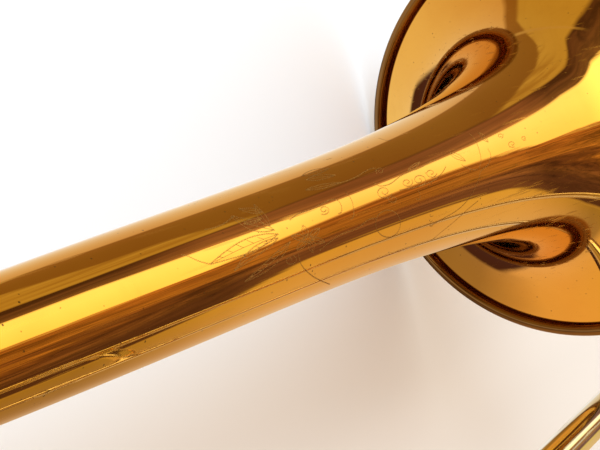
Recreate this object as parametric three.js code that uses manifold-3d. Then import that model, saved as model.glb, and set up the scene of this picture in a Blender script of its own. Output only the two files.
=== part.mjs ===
// Straight tenor trombone in B flat, closed slide, millimetres.
// Frame: the origin is the centre of the rubber bumper's end face, the point the closed instrument stands on.
// +X runs forward along the slide and the bell, +Y is the player's left (the bell's side), +Z is up.
import * as THREE from "three";
import { mergeVertices } from "three/addons/utils/BufferGeometryUtils.js";
import Module from "manifold-3d";

const wasm = await Module();
wasm.setup();

// ---- driving dimensions ----
const SLIDE_SPACING = 86; // between the two slide tubes' axes
const BELL_Y = 130; // bell axis to slide and neckpipe axis
const RIM_X = -500; // plane of the rim bead's centre circle
const RIM_R = 101.6; // outside radius of the rolled rim, an 8 inch bell
const BEAD_R = 2.6; // rolled bead's section radius
const BELL_TAIL = 465; // bell tail behind the rim plane
const BELL_WALL = 0.6;
const JUNCTION_X = -860; // where the hand slide's tenon shoulder meets the neck receiver
const INNER_BORE = 6.1; // slide bore radius
const INNER_R = 6.65; // inner tube outside radius
const STOCKING_R = 6.95; // thickened end of the inner tube
const OUTER_BORE = 7.05;
const OUTER_R = 7.6;
const INNER_END_X = -92; // front end of the inner tubes
const OUTER_END_X = -784; // rear end of the outer tubes, inside the cork barrels
const BOW_START_X = -70; // hand slide bow: start of the bend
const TUNING_START_X = -1056; // tuning slide bow: start of the bend
const RECEIVER_END_X = -1030; // rear end of the tuning slide receivers
const LEG_NECK_R = 8.5;
const LEG_BELL_R = 12.2;
const LEG_WALL = 0.6;
const RUN = 0.1; // running clearance, tube in tube
const GAP = 0.15; // clearance between soldered neighbours
const SEG = 16;
const BELL_SEG = 36;

const ZB = -SLIDE_SPACING / 2; // bell side tube and neckpipe
const ZM = SLIDE_SPACING / 2; // mouthpiece side tube

// ---- materials ----
const metal = (color, roughness) =>
  new THREE.MeshStandardMaterial({ color, roughness, metalness: 1 });
const brass = () => metal(0xd9a441, 0.22);
const nickel = () => metal(0xd2d0ca, 0.2);
const silver = () => metal(0xe6e6ea, 0.12);
const steel = () => metal(0xb8b8b8, 0.35);
const cork = () =>
  new THREE.MeshStandardMaterial({ color: 0xb58a5a, roughness: 0.9, metalness: 0 });
const rubber = () =>
  new THREE.MeshStandardMaterial({ color: 0x161616, roughness: 0.8, metalness: 0 });

const root = new THREE.Group();
root.name = "trombone";
function put(name, geometry, material) {
  const mesh = new THREE.Mesh(geometry, material);
  mesh.name = name;
  root.add(mesh);
  return mesh;
}

// ---- helpers ----
function meshVolume(g) {
  const p = g.index ? g.toNonIndexed().attributes.position : g.attributes.position;
  let v = 0;
  const a = new THREE.Vector3(), b = new THREE.Vector3(), c = new THREE.Vector3();
  for (let i = 0; i < p.count; i += 3) {
    a.fromBufferAttribute(p, i);
    b.fromBufferAttribute(p, i + 1);
    c.fromBufferAttribute(p, i + 2);
    v += a.dot(b.clone().cross(c)) / 6;
  }
  return v;
}
// Profile points are [x, r]. A profile that leaves the axis is closed on itself.
function lathe(profile, seg = SEG, y = 0, z = 0) {
  const onAxis = profile[0][1] < 1e-9 && profile[profile.length - 1][1] < 1e-9;
  let pts = profile.map(([x, r]) => new THREE.Vector2(r, x));
  if (!onAxis) pts.push(pts[0].clone());
  let g = new THREE.LatheGeometry(pts, seg);
  if (meshVolume(g) < 0) {
    pts = pts.slice().reverse();
    g = new THREE.LatheGeometry(pts, seg);
  }
  g.rotateZ(-Math.PI / 2);
  g.translate(0, y, z);
  return g;
}
const tube = (x0, x1, ri, ro, y = 0, z = 0, seg = SEG) =>
  lathe([[x0, ri], [x1, ri], [x1, ro], [x0, ro]], seg, y, z);
// The same lathe about another axis: profile points are [distance along the axis, r].
function latheAxis(profile, seg, axis, at) {
  const g = lathe(profile, seg);
  if (axis === "Y") g.rotateZ(Math.PI / 2);
  if (axis === "Z") g.rotateY(-Math.PI / 2);
  g.translate(at[0], at[1], at[2]);
  return g;
}
// Polygon prisms. points are [y, z] for X, [z, x] for Y and [x, y] for Z.
function prism(points, axis, from, to, holes = []) {
  const shape = new THREE.Shape(points.map(([a, b]) => new THREE.Vector2(a, b)));
  for (const h of holes)
    shape.holes.push(new THREE.Path(h.map(([a, b]) => new THREE.Vector2(a, b))));
  const g = new THREE.ExtrudeGeometry(shape, { depth: to - from, bevelEnabled: false, steps: 1 });
  g.translate(0, 0, from);
  const m = new THREE.Matrix4();
  if (axis === "X") m.set(0, 0, 1, 0, 1, 0, 0, 0, 0, 1, 0, 0, 0, 0, 0, 1);
  if (axis === "Y") m.set(0, 1, 0, 0, 0, 0, 1, 0, 1, 0, 0, 0, 0, 0, 0, 1);
  g.applyMatrix4(m);
  return g;
}
const circle = (r, n, cx = 0, cy = 0) =>
  Array.from({ length: n }, (_, i) => [
    cx + r * Math.cos((2 * Math.PI * i) / n),
    cy + r * Math.sin((2 * Math.PI * i) / n),
  ]);
function arcBand(r0, r1, a0, a1, n, cx = 0, cy = 0) {
  const pts = [];
  for (let i = 0; i <= n; i++) {
    const a = a0 + ((a1 - a0) * i) / n;
    pts.push([cx + r1 * Math.cos(a), cy + r1 * Math.sin(a)]);
  }
  for (let i = n; i >= 0; i--) {
    const a = a0 + ((a1 - a0) * i) / n;
    pts.push([cx + r0 * Math.cos(a), cy + r0 * Math.sin(a)]);
  }
  return pts;
}
function solid(g) {
  const flat = new THREE.BufferGeometry().setAttribute(
    "position",
    (g.index ? g.toNonIndexed() : g).getAttribute("position").clone(),
  );
  const m = mergeVertices(flat, 1e-4);
  return new wasm.Manifold(
    new wasm.Mesh({
      numProp: 3,
      vertProperties: new Float32Array(m.attributes.position.array),
      triVerts: new Uint32Array(m.index.array),
    }),
  );
}
function geometryOf(s) {
  const m = s.getMesh();
  const v = new Float32Array(m.numVert * 3);
  for (let i = 0; i < m.numVert; i++)
    v.set(m.vertProperties.subarray(i * m.numProp, i * m.numProp + 3), i * 3);
  return new THREE.BufferGeometry()
    .setAttribute("position", new THREE.BufferAttribute(v, 3))
    .setIndex(new THREE.BufferAttribute(new Uint32Array(m.triVerts), 1));
}
const cut = (a, ...tools) =>
  geometryOf(tools.reduce((s, t) => s.subtract(solid(t)), solid(a)));
const join = (...pieces) =>
  geometryOf(pieces.slice(1).reduce((s, t) => s.add(solid(t)), solid(pieces[0])));

// A hollow tube whose sections follow a list of stations {p, t, ro, ri}: centre, direction, radii.
// up is perpendicular to every direction.
function sweep(stations, up, seg = 20) {
  const pos = [], idx = [];
  const rings = stations.length;
  const side = new THREE.Vector3();
  for (const which of ["ro", "ri"])
    for (const s of stations) {
      side.crossVectors(s.t, up).normalize();
      for (let j = 0; j < seg; j++) {
        const a = (2 * Math.PI * j) / seg;
        const v = s.p.clone()
          .addScaledVector(up, s[which] * Math.cos(a))
          .addScaledVector(side, s[which] * Math.sin(a));
        pos.push(v.x, v.y, v.z);
      }
    }
  const quad = (a, b, c, d) => idx.push(a, b, c, a, c, d);
  const at = (k, i, j) => (k * rings + i) * seg + (j % seg);
  for (let i = 0; i < rings - 1; i++)
    for (let j = 0; j < seg; j++) {
      quad(at(0, i, j), at(0, i + 1, j), at(0, i + 1, j + 1), at(0, i, j + 1));
      quad(at(1, i, j), at(1, i, j + 1), at(1, i + 1, j + 1), at(1, i + 1, j));
    }
  for (let j = 0; j < seg; j++) {
    quad(at(0, 0, j), at(0, 0, j + 1), at(1, 0, j + 1), at(1, 0, j));
    quad(at(0, rings - 1, j), at(1, rings - 1, j), at(1, rings - 1, j + 1), at(0, rings - 1, j + 1));
  }
  const g = new THREE.BufferGeometry()
    .setAttribute("position", new THREE.BufferAttribute(new Float32Array(pos), 3))
    .setIndex(idx);
  if (meshVolume(g) < 0) {
    for (let i = 0; i < idx.length; i += 3) [idx[i + 1], idx[i + 2]] = [idx[i + 2], idx[i + 1]];
    g.setIndex(idx);
  }
  return g;
}

// A brace: a tube with a saddle flange at each end, between two tubes that run along X.
// axis Y or Z; from and to are the tubes' axes along it; r0 and r1 their outside radii there.
function brace(prefix, names, axis, x, other, from, to, r0, r1, tubeR, footR, material) {
  const at = axis === "Y" ? [x, 0, other] : [x, other, 0];
  const reach = 11; // flange length measured from the tube's surface
  const socket = tubeR + RUN;
  const flange = (c, r, dir) => {
    const foot = Math.sqrt(Math.max(0, r * r - footR * footR)) - 0.4;
    const s = (d) => c + dir * d;
    const body = latheAxis(
      [
        [s(foot), 0],
        [s(foot), footR],
        [s(r + 2.2), footR],
        [s(r + 4.2), tubeR + 2.4],
        [s(r + reach), tubeR + 1.2],
        [s(r + reach), socket],
        [s(r + 5), socket],
        [s(r + 5), 0],
      ],
      14, axis, at,
    );
    const cyl = lathe([[x - 30, 0], [x - 30, r + GAP], [x + 30, r + GAP], [x + 30, 0]], r > 15 ? BELL_SEG : SEG,
      axis === "Y" ? c : other, axis === "Y" ? other : c);
    return cut(body, cyl);
  };
  put(prefix + names[0], flange(from, r0, 1), material());
  put(prefix + names[1], flange(to, r1, -1), material());
  put(
    prefix + "tube",
    latheAxis(
      [
        [from + r0 + 5.3, tubeR - 0.8],
        [to - r1 - 5.3, tubeR - 0.8],
        [to - r1 - 5.3, tubeR],
        [from + r0 + 5.3, tubeR],
      ],
      14, axis, at,
    ),
    material(),
  );
}

// ---- bell ----
// Outside of the sheet: distance behind the rim plane, radius.
const BELL_OUTSIDE = [
  [BELL_TAIL, 13.4], [390, 16.53], [330, 18.41], [260, 20.28], [205, 22.57], [150, 26.91], [105, 33.2], [65, 42.6], [45, 49.96], [30, 57.84], [20, 65.18], [12, 73.41], [5, 84.49], [0.4, 95.35], [-0.9, 97],
];
{
  const back = BELL_OUTSIDE.map(([d, r]) => [-d, r]);
  // the inside of the sheet, one wall thickness along the normal
  const front = back.map(([x, r], i) => {
    const a = back[Math.max(0, i - 1)], b = back[Math.min(back.length - 1, i + 1)];
    const tx = b[0] - a[0], tr = b[1] - a[1], l = Math.hypot(tx, tr);
    return [x + (BELL_WALL * tr) / l, r - (BELL_WALL * tx) / l];
  });
  front[0] = [-BELL_TAIL, 13.4 - BELL_WALL];
  const c = [0, RIM_R - BEAD_R]; // the bead's centre
  const ring = (deg, rad) => [
    c[0] + rad * Math.sin((deg * Math.PI) / 180),
    c[1] + rad * Math.cos((deg * Math.PI) / 180),
  ];
  const inner = 2.0;
  // round the bead from the front, over the edge, to the back, and home inside the curl
  const outerCurl = [
    [BEAD_R, RIM_R - BEAD_R - 0.7], [BEAD_R, RIM_R - BEAD_R + 0.5],
    ring(48, BEAD_R), ring(0, BEAD_R), ring(-48, BEAD_R), ring(-95, BEAD_R), ring(-145, BEAD_R),
  ];
  const innerCurl = [ring(-145, inner), ring(-85, inner), ring(-25, inner), ring(35, inner), ring(85, inner)];
  const profile = [
    ...front.slice(0, -1),
    ...outerCurl,
    ...innerCurl,
    ...back.slice().reverse(),
  ].map(([x, r]) => [x + RIM_X, r]);
  put("bell", lathe(profile, BELL_SEG, BELL_Y, ZB), brass());
  const wire = [];
  for (let i = 0; i < 5; i++) {
    const a = (2 * Math.PI * i) / 5;
    wire.push([RIM_X + 1.35 * Math.sin(a), RIM_R - BEAD_R + 1.35 * Math.cos(a)]);
  }
  put("bell_rim_wire", lathe(wire, BELL_SEG, BELL_Y, ZB), brass());
}
const TAIL_X = RIM_X - BELL_TAIL;
put("bell_tail_ferrule", lathe([
  [TAIL_X - 9, LEG_BELL_R + 1.05], [TAIL_X - 0.4, LEG_BELL_R + 1.05], [TAIL_X - 0.4, 13.95],
  [TAIL_X + 9, 13.95], [TAIL_X + 9, 14.6], [TAIL_X - 9, 14.6],
], BELL_SEG, BELL_Y, ZB), nickel());

// ---- tuning slide receivers and neckpipe ----
put("tuning_receiver_bell", lathe([
  [RECEIVER_END_X, LEG_BELL_R + RUN], [TAIL_X - 0.7, LEG_BELL_R + RUN], [TAIL_X - 0.7, LEG_BELL_R + 0.9],
  [RECEIVER_END_X + 6, LEG_BELL_R + 0.9], [RECEIVER_END_X + 5, LEG_BELL_R + 1.8], [RECEIVER_END_X, LEG_BELL_R + 1.8],
], SEG, BELL_Y, ZB), brass());
const NECK_FRONT = -944;
put("tuning_receiver_neck", lathe([
  [RECEIVER_END_X, LEG_NECK_R + RUN], [NECK_FRONT, LEG_NECK_R + RUN], [NECK_FRONT, LEG_NECK_R + 0.9],
  [RECEIVER_END_X + 6, LEG_NECK_R + 0.9], [RECEIVER_END_X + 5, LEG_NECK_R + 1.8], [RECEIVER_END_X, LEG_NECK_R + 1.8],
], SEG, 0, ZB), brass());
const NECK_R = 8.3;
put("neckpipe", tube(NECK_FRONT - 6, -903, NECK_R - 0.7, NECK_R, 0, ZB), brass());
put("neckpipe_ferrule", lathe([
  [NECK_FRONT - 10, LEG_NECK_R + 1.05], [NECK_FRONT + 0.4, LEG_NECK_R + 1.05], [NECK_FRONT + 0.4, NECK_R + GAP],
  [NECK_FRONT + 8, NECK_R + GAP], [NECK_FRONT + 8, 9.2], [NECK_FRONT + 4, 10.5], [NECK_FRONT - 10, 10.5],
], SEG, 0, ZB), nickel());
// the tapered socket with the nut's thread, drawn as rings
{
  const x = JUNCTION_X - 1.4;
  const p = [
    [-912, NECK_R + GAP], [-902.6, NECK_R + GAP], [-902.6, 7.2], [-900, 7.2], [-900, 8.4], [x, 9.2], [x, 10.3],
  ];
  for (let i = 0; i < 3; i++) p.push([x - 1 - i * 4.6, 11.0], [x - 3.3 - i * 4.6, 10.2]);
  p.push([-906, 10.2], [-907, 11.2], [-912, 10.8]);
  put("neck_receiver", lathe(p, SEG, 0, ZB), nickel());
}
brace("bell_brace_front_", ["flange_neck", "flange_bell"], "Y", -922, ZB, 0, BELL_Y, NECK_R, 15.6, 5.0, 7.6, nickel);
brace("bell_brace_rear_", ["flange_neck", "flange_bell"], "Y", -992, ZB, 0, BELL_Y, LEG_NECK_R + 0.9, LEG_BELL_R + 0.9, 4.0, 7.4, nickel);

// ---- bell lock nut: knurled sleeve held behind the tenon's shoulder ----
{
  const teeth = 16;
  const outline = [];
  for (let i = 0; i < teeth * 2; i++) {
    const a = (Math.PI * i) / teeth;
    const r = i % 2 ? 13.5 : 14.1;
    outline.push([r * Math.cos(a), r * Math.sin(a)]);
  }
  const body = prism(outline, "X", JUNCTION_X - 16, JUNCTION_X + 3, []);
  const collar = lathe([
    [JUNCTION_X + 2, 0], [JUNCTION_X + 2, 12.9], [JUNCTION_X + 6, 12.6], [JUNCTION_X + 9, 11.4], [JUNCTION_X + 9, 0],
  ], SEG);
  const bore = lathe([
    [JUNCTION_X - 17, 0], [JUNCTION_X - 17, 11.5], [JUNCTION_X + 2.1, 11.5], [JUNCTION_X + 2.1, 9.5], [JUNCTION_X + 10, 9.5], [JUNCTION_X + 10, 0],
  ], SEG);
  const g = cut(join(body, collar), bore);
  g.translate(0, 0, ZB);
  put("bell_lock_nut", g, nickel());
}

// ---- tuning slide ----
put("tuning_leg_bell", tube(TUNING_START_X + 6, -970, LEG_BELL_R - LEG_WALL, LEG_BELL_R, BELL_Y, ZB), nickel());
put("tuning_leg_neck", tube(TUNING_START_X + 6, -970, LEG_NECK_R - LEG_WALL, LEG_NECK_R, 0, ZB), nickel());
for (const [n, r, y] of [["tuning_ferrule_bell", LEG_BELL_R, BELL_Y], ["tuning_ferrule_neck", LEG_NECK_R, 0]])
  put(n, lathe([
    [TUNING_START_X, r + GAP], [TUNING_START_X + 14, r + GAP], [TUNING_START_X + 14, r + 1.6], [TUNING_START_X, r + 1.6],
  ], SEG, y, ZB), nickel());
{
  const R = BELL_Y / 2, n = 11, stations = [];
  const radius = (k) => LEG_NECK_R + (LEG_BELL_R - LEG_NECK_R) * k;
  stations.push({ p: new THREE.Vector3(TUNING_START_X + 5.6, 0, ZB), t: new THREE.Vector3(-1, 0, 0), k: 0 });
  for (let i = 0; i <= n; i++) {
    const a = (Math.PI * i) / n;
    stations.push({
      p: new THREE.Vector3(TUNING_START_X - R * Math.sin(a), R - R * Math.cos(a), ZB),
      t: new THREE.Vector3(-Math.cos(a), Math.sin(a), 0),
      k: i / n,
    });
  }
  stations.push({ p: new THREE.Vector3(TUNING_START_X + 5.6, BELL_Y, ZB), t: new THREE.Vector3(1, 0, 0), k: 1 });
  for (const s of stations) { s.ro = radius(s.k); s.ri = s.ro - LEG_WALL; }
  put("tuning_bow", sweep(stations, new THREE.Vector3(0, 0, 1), SEG), brass());
}
brace("tuning_brace_", ["flange_neck", "flange_bell"], "Y", TUNING_START_X + 7, ZB, 0, BELL_Y, LEG_NECK_R + 1.6, LEG_BELL_R + 1.6, 3.4, 5.2, nickel);

// ---- inner slide ----
put("slide_tenon", lathe([
  [-899, INNER_BORE], [-848.4, INNER_BORE], [-848.4, 9.0], [JUNCTION_X + 1.6, 9.0], [JUNCTION_X + 1.6, 11.0],
  [JUNCTION_X - 1.0, 11.0], [JUNCTION_X - 1.0, 8.9], [-899, 8.1],
], SEG, 0, ZB), nickel());
const BARREL_X0 = -848, BARREL_X1 = -770;
put("cork_barrel_bell", lathe([
  [BARREL_X0, INNER_R + GAP], [-797, INNER_R + GAP], [-797, 8.4], [BARREL_X1, 8.4], [BARREL_X1, 9.8], [-772, 9.8], [-772, 9.2],
  [-788, 9.2], [-788, 10.3], [-794, 10.3], [-794, 9.2], [BARREL_X0, 9.2],
], SEG, 0, ZB), nickel());
put("cork_barrel_mouthpiece", lathe([
  [BARREL_X0, INNER_R + GAP], [-797, INNER_R + GAP], [-797, 8.4], [BARREL_X1, 8.4], [BARREL_X1, 10.0], [-776, 10.0], [-777, 9.2],
  [BARREL_X0, 9.2],
], SEG, 0, ZM), nickel());
for (const [side, z] of [["bell", ZB], ["mouthpiece", ZM]]) {
  put("inner_tube_" + side, lathe([
    [-846, INNER_BORE], [INNER_END_X, INNER_BORE], [INNER_END_X, STOCKING_R],
    [INNER_END_X - 110, STOCKING_R], [INNER_END_X - 114, INNER_R], [-846, INNER_R],
  ], SEG, 0, z), nickel());
  put("barrel_cork_" + side, tube(-796.7, -785, INNER_R + 0.2, 8.2, 0, z), cork());
}
brace("inner_brace_", ["flange_bell", "flange_mouthpiece"], "Z", -826, 0, ZB, ZM, 9.2, 9.2, 6.0, 8.0, nickel);
put("leadpipe", lathe([
  [-862, 5.9], [-820, 5.2], [-660, 5.75], [-660, 6.0], [-862, 6.0],
].map(([x, r]) => [x, Math.min(r, 6.0)]), SEG, 0, ZM), brass());
put("mouthpiece_receiver", lathe([
  [-896, 6.75], [-866, 6.35], [-863, 6.15], [-848.5, 6.15], [-848.5, 8.2], [-886, 8.4],
  [-887, 9.6], [-896, 9.6],
], SEG, 0, ZM), nickel());

// ---- slide lock ring: rest is unlocked, a positive turn carries the hook in front of the lug ----
const LUG_DEG = 180; // direction of the lug round the tube, in the [y, z] plane: 180 is -Y
{
  const rad = Math.PI / 180;
  const ring = lathe([
    [-787.6, 9.5], [-772.4, 9.5], [-772.4, 10.1], [-767, 10.1], [-767, 11.2], [-769, 11.8], [-787.6, 11.8],
  ], SEG);
  const arm = prism(arcBand(9.7, 11.4, (LUG_DEG + 30) * rad, (LUG_DEG + 40) * rad, 2), "X", -769, -752.5);
  const hook = prism(arcBand(9.7, 11.4, (LUG_DEG + 13) * rad, (LUG_DEG + 40) * rad, 4), "X", -756.4, -752.5);
  const g = join(ring, arm, hook);
  g.translate(0, 0, ZB);
  put("slide_lock_ring", g, nickel());
}

// ---- mouthpiece ----
put("mouthpiece", lathe([
  [-952, 13.4], [-954, 16.0], [-953.2, 18.9], [-949.5, 19.4], [-946, 17.0],
  [-934, 15.2], [-926, 11.6], [-918, 8.0], [-905, 7.4], [-897, 6.42],
  [-867, 5.95], [-867, 5.0], [-905, 3.9], [-925, 3.2], [-933, 5.2], [-941, 10.4],
], 24, 0, ZM), silver());

// ---- hand slide ----
put("outer_tube_bell", tube(OUTER_END_X, -82, OUTER_BORE, OUTER_R, 0, ZB), nickel());
put("outer_tube_mouthpiece", tube(OUTER_END_X, -82, OUTER_BORE, OUTER_R, 0, ZM), nickel());
const SLEEVE = [
  [-765, OUTER_R + GAP], [-712, OUTER_R + GAP], [-712, 8.3], [-715, 8.8], [-761, 8.8], [-761, 9.3], [-765, 9.3],
];
{
  const sleeve = lathe(SLEEVE, SEG);
  const lug = prism([[-8.5, -1.4], [-8.5, 1.4], [-11.2, 1.2], [-11.2, -1.2]], "X", -760.6, -757.2);
  const g = join(sleeve, lug);
  g.translate(0, 0, ZB);
  put("top_sleeve_bell", g, nickel());
}
put("top_sleeve_mouthpiece", lathe(SLEEVE, SEG, 0, ZM), nickel());
brace("outer_brace_", ["flange_bell", "flange_mouthpiece"], "Z", -738, 0, ZB, ZM, 8.8, 8.8, 4.8, 7.6, nickel);
for (const [side, z] of [["bell", ZB], ["mouthpiece", ZM]])
  put("bow_ferrule_" + side, lathe([
    [-92, OUTER_R + GAP], [-72, OUTER_R + GAP], [-72, 8.2], [-74, 8.9], [-89, 8.9], [-89, 9.4], [-92, 9.4],
  ], SEG, 0, z), nickel());
{
  const R = SLIDE_SPACING / 2, n = 10, stations = [];
  stations.push({ p: new THREE.Vector3(-81.4, 0, ZB), t: new THREE.Vector3(1, 0, 0) });
  for (let i = 0; i <= n; i++) {
    const a = (Math.PI * i) / n;
    stations.push({
      p: new THREE.Vector3(BOW_START_X + R * Math.sin(a), 0, -R * Math.cos(a)),
      t: new THREE.Vector3(Math.cos(a), 0, Math.sin(a)),
    });
  }
  stations.push({ p: new THREE.Vector3(-81.4, 0, ZM), t: new THREE.Vector3(-1, 0, 0) });
  for (const s of stations) { s.ro = OUTER_R; s.ri = OUTER_BORE; }
  put("slide_bow", sweep(stations, new THREE.Vector3(0, 1, 0), SEG), nickel());
  // points are [z, x] about the bow's centre
  const r0 = R + OUTER_R + 0.2;
  put("bow_guard", prism(
    arcBand(r0, r0 + 1.2, (40 * Math.PI) / 180, (140 * Math.PI) / 180, 10, 0, BOW_START_X), "Y", -4.5, 4.5,
  ), nickel());
}
const GUARD_X = BOW_START_X + SLIDE_SPACING / 2 + OUTER_R + 1.4;
put("bumper_cup", lathe([
  [GUARD_X + 0.2, 0], [GUARD_X + 0.2, 5.4], [-13.5, 6.4], [-12, 8.0], [-8.2, 8.0], [-7.8, 7.4], [-7.8, 6.1], [-11.5, 6.1], [-11.5, 0],
], SEG), nickel());
put("bumper_rubber", lathe([
  [-11.2, 0], [-11.2, 5.9], [-7.4, 5.9], [-7.4, 7.2], [-3, 7.0], [-0.8, 6.2], [0, 5.0], [0, 0],
], SEG), rubber());

// ---- water key, under the bell side of the bow ----
const KEY_X = -68, PIVOT_X = -84, PIVOT_Z = ZB - 13.6, LIP_Z = ZB - OUTER_R - 4.0;
const tubeTool = (r) => lathe([[-130, 0], [-130, r], [-40, r], [-40, 0]], 40, 0, ZB);
put("water_key_nipple", cut(
  latheAxis([[LIP_Z, 0], [LIP_Z, 2.4], [LIP_Z + 1, 2.6], [ZB - OUTER_R + 2.2, 3.4], [ZB - OUTER_R + 2.2, 0]], 16, "Z", [KEY_X, 0, 0]),
  tubeTool(OUTER_R + GAP),
  latheAxis([[LIP_Z - 1, 0], [LIP_Z - 1, 1.4], [ZB, 1.4], [ZB, 0]], 12, "Z", [KEY_X, 0, 0]),
), nickel());
{
  // a saddle on the ferrule with two ears; points are [z, x]
  const ear = (y0, y1) => prism(
    [[ZB - 7, PIVOT_X - 4], [ZB - 7, PIVOT_X + 4], [PIVOT_Z - 0.5, PIVOT_X + 2.5], [PIVOT_Z - 2.6, PIVOT_X + 1.4],
      [PIVOT_Z - 2.6, PIVOT_X - 1.4], [PIVOT_Z - 0.5, PIVOT_X - 2.5]],
    "Y", y0, y1, [circle(1.3, 12, PIVOT_Z, PIVOT_X)],
  );
  const base = prism(
    [[-6, ZB - 10.4], [6, ZB - 10.4], [7.2, ZB - 5.6], [-7.2, ZB - 5.6]], "X", PIVOT_X - 3.9, PIVOT_X + 3.9,
  );
  put("water_key_saddle", cut(join(base, ear(-5.4, -4.0), ear(4.0, 5.4)), tubeTool(8.9 + GAP)), nickel());
  const screw = latheAxis(
    [[-6.0, 0], [-6.0, 0.9], [5.6, 0.9], [5.6, 2.1], [7.0, 1.8], [7.0, 0]], 16, "Y", [PIVOT_X, 0, PIVOT_Z],
  );
  put("water_key_screw", screw, steel());
  // lever: pivot barrel, cup arm to the front, touch arm to the back
  const barrel = latheAxis([[-3.7, 0], [-3.7, 2.1], [3.7, 2.1], [3.7, 0]], 16, "Y", [PIVOT_X, 0, PIVOT_Z]);
  const cupTop = LIP_Z - 2.4;
  const arm = prism(
    [[PIVOT_Z - 0.3, PIVOT_X], [PIVOT_Z - 2.0, PIVOT_X], [cupTop - 1.8, KEY_X - 3], [cupTop - 1.8, KEY_X + 1], [cupTop - 0.2, KEY_X + 1], [cupTop - 0.2, KEY_X - 3]],
    "Y", -2.6, 0.8,
  );
  const touch = prism(
    [[PIVOT_Z - 0.2, PIVOT_X + 0.5], [PIVOT_Z - 2.6, PIVOT_X - 12], [PIVOT_Z - 3.2, PIVOT_X - 24], [PIVOT_Z - 1.6, PIVOT_X - 37],
      [PIVOT_Z - 3.2, PIVOT_X - 37.4], [PIVOT_Z - 5.0, PIVOT_X - 24], [PIVOT_Z - 4.2, PIVOT_X - 12], [PIVOT_Z - 2.0, PIVOT_X + 0.5]],
    "Y", -2.6, 0.8,
  );
  // the thumb plate is wider than the arm; points are [x, y]
  const plate = cut(
    prism([[PIVOT_X - 38, -3.6], [PIVOT_X - 22, -4.4], [PIVOT_X - 22, 2.6], [PIVOT_X - 38, 1.8]], "Z", PIVOT_Z - 5.6, PIVOT_Z - 1),
    prism([[PIVOT_Z + 2, PIVOT_X - 20], [PIVOT_Z - 3.1, PIVOT_X - 21], [PIVOT_Z - 3.2, PIVOT_X - 24], [PIVOT_Z - 1.6, PIVOT_X - 37], [PIVOT_Z - 1.4, PIVOT_X - 40], [PIVOT_Z + 2, PIVOT_X - 40]], "Y", -6, 6),
    prism([[PIVOT_Z - 8, PIVOT_X - 20], [PIVOT_Z - 8, PIVOT_X - 40], [PIVOT_Z - 2.9, PIVOT_X - 40], [PIVOT_Z - 3.2, PIVOT_X - 37.4], [PIVOT_Z - 5.0, PIVOT_X - 24], [PIVOT_Z - 5.0, PIVOT_X - 20]], "Y", -6, 6),
  );
  const cup = latheAxis([[cupTop - 1.8, 0], [cupTop - 1.8, 3.4], [cupTop - 0.8, 4.4], [cupTop + 0.9, 4.4], [cupTop + 0.9, 3.8], [cupTop - 0.4, 3.8], [cupTop - 0.4, 0]], 20, "Z", [KEY_X, 0, 0]);
  const bore = latheAxis([[-5, 0], [-5, 1.3], [5, 1.3], [5, 0]], 12, "Y", [PIVOT_X, 0, PIVOT_Z]);
  put("water_key_lever", cut(join(barrel, arm, touch, plate, cup), bore), nickel());
  put("water_key_cork", latheAxis([[cupTop - 0.2, 0], [cupTop - 0.2, 3.5], [LIP_Z - 0.15, 3.5], [LIP_Z - 0.15, 0]], 16, "Z", [KEY_X, 0, 0]), cork());
  // torsion spring: a coil round the barrel, one leg on the tube, one on the touch arm
  const pts = [];
  pts.push(new THREE.Vector3(PIVOT_X - 16, 3.2, ZB - 7.5));
  pts.push(new THREE.Vector3(PIVOT_X - 9, 3.2, ZB - 10.3));
  pts.push(new THREE.Vector3(PIVOT_X - 4, 3.2, ZB - 10.85));
  const turns = 2.5, n = 20;
  for (let i = 0; i <= n; i++) {
    const a = Math.PI / 2 - (i / n) * turns * 2 * Math.PI;
    pts.push(new THREE.Vector3(PIVOT_X + 2.75 * Math.cos(a), 3.2 - (1.7 * i) / n, PIVOT_Z + 2.75 * Math.sin(a)));
  }
  pts.push(new THREE.Vector3(PIVOT_X - 4, 1.5, PIVOT_Z - 2.6));
  pts.push(new THREE.Vector3(PIVOT_X - 9, 1.4, PIVOT_Z - 1.8));
  pts.push(new THREE.Vector3(PIVOT_X - 13, 0.3, PIVOT_Z - 2.1));
  const wire = new THREE.Shape(circle(0.28, 4).map(([a, b]) => new THREE.Vector2(a, b)));
  put("water_key_spring", new THREE.ExtrudeGeometry(wire, {
    steps: 44, bevelEnabled: false, extrudePath: new THREE.CatmullRomCurve3(pts, false, "centripetal"),
  }), steel());
}

export default root;
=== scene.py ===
import math

import bpy
import numpy as np
from mathutils import Matrix, Vector


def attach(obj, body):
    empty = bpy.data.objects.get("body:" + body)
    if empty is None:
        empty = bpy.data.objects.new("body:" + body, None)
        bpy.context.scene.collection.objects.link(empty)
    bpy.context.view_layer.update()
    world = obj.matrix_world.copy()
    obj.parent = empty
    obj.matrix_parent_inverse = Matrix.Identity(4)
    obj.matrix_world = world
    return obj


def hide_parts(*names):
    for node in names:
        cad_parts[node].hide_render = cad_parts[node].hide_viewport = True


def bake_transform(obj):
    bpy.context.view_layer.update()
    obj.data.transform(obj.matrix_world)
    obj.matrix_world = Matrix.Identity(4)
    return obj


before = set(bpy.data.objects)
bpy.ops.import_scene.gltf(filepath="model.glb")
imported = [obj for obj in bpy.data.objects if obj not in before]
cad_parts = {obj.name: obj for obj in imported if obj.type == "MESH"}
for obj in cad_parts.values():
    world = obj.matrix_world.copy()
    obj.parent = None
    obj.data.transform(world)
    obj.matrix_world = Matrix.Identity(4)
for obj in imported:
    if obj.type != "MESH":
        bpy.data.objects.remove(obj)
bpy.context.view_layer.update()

# ------------------------------------------------------------------ dimensions, millimetres
BY = 130.0
ZB, ZM = -43.0, 43.0
RIM_X, RIM_R, BEAD_R = -500.0, 101.6, 2.6
TAIL_X = -965.0
NECK_R = 8.3
LEG_NECK_R, LEG_BELL_R = 8.5, 12.2
TUNING_X = -1056.0
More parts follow.
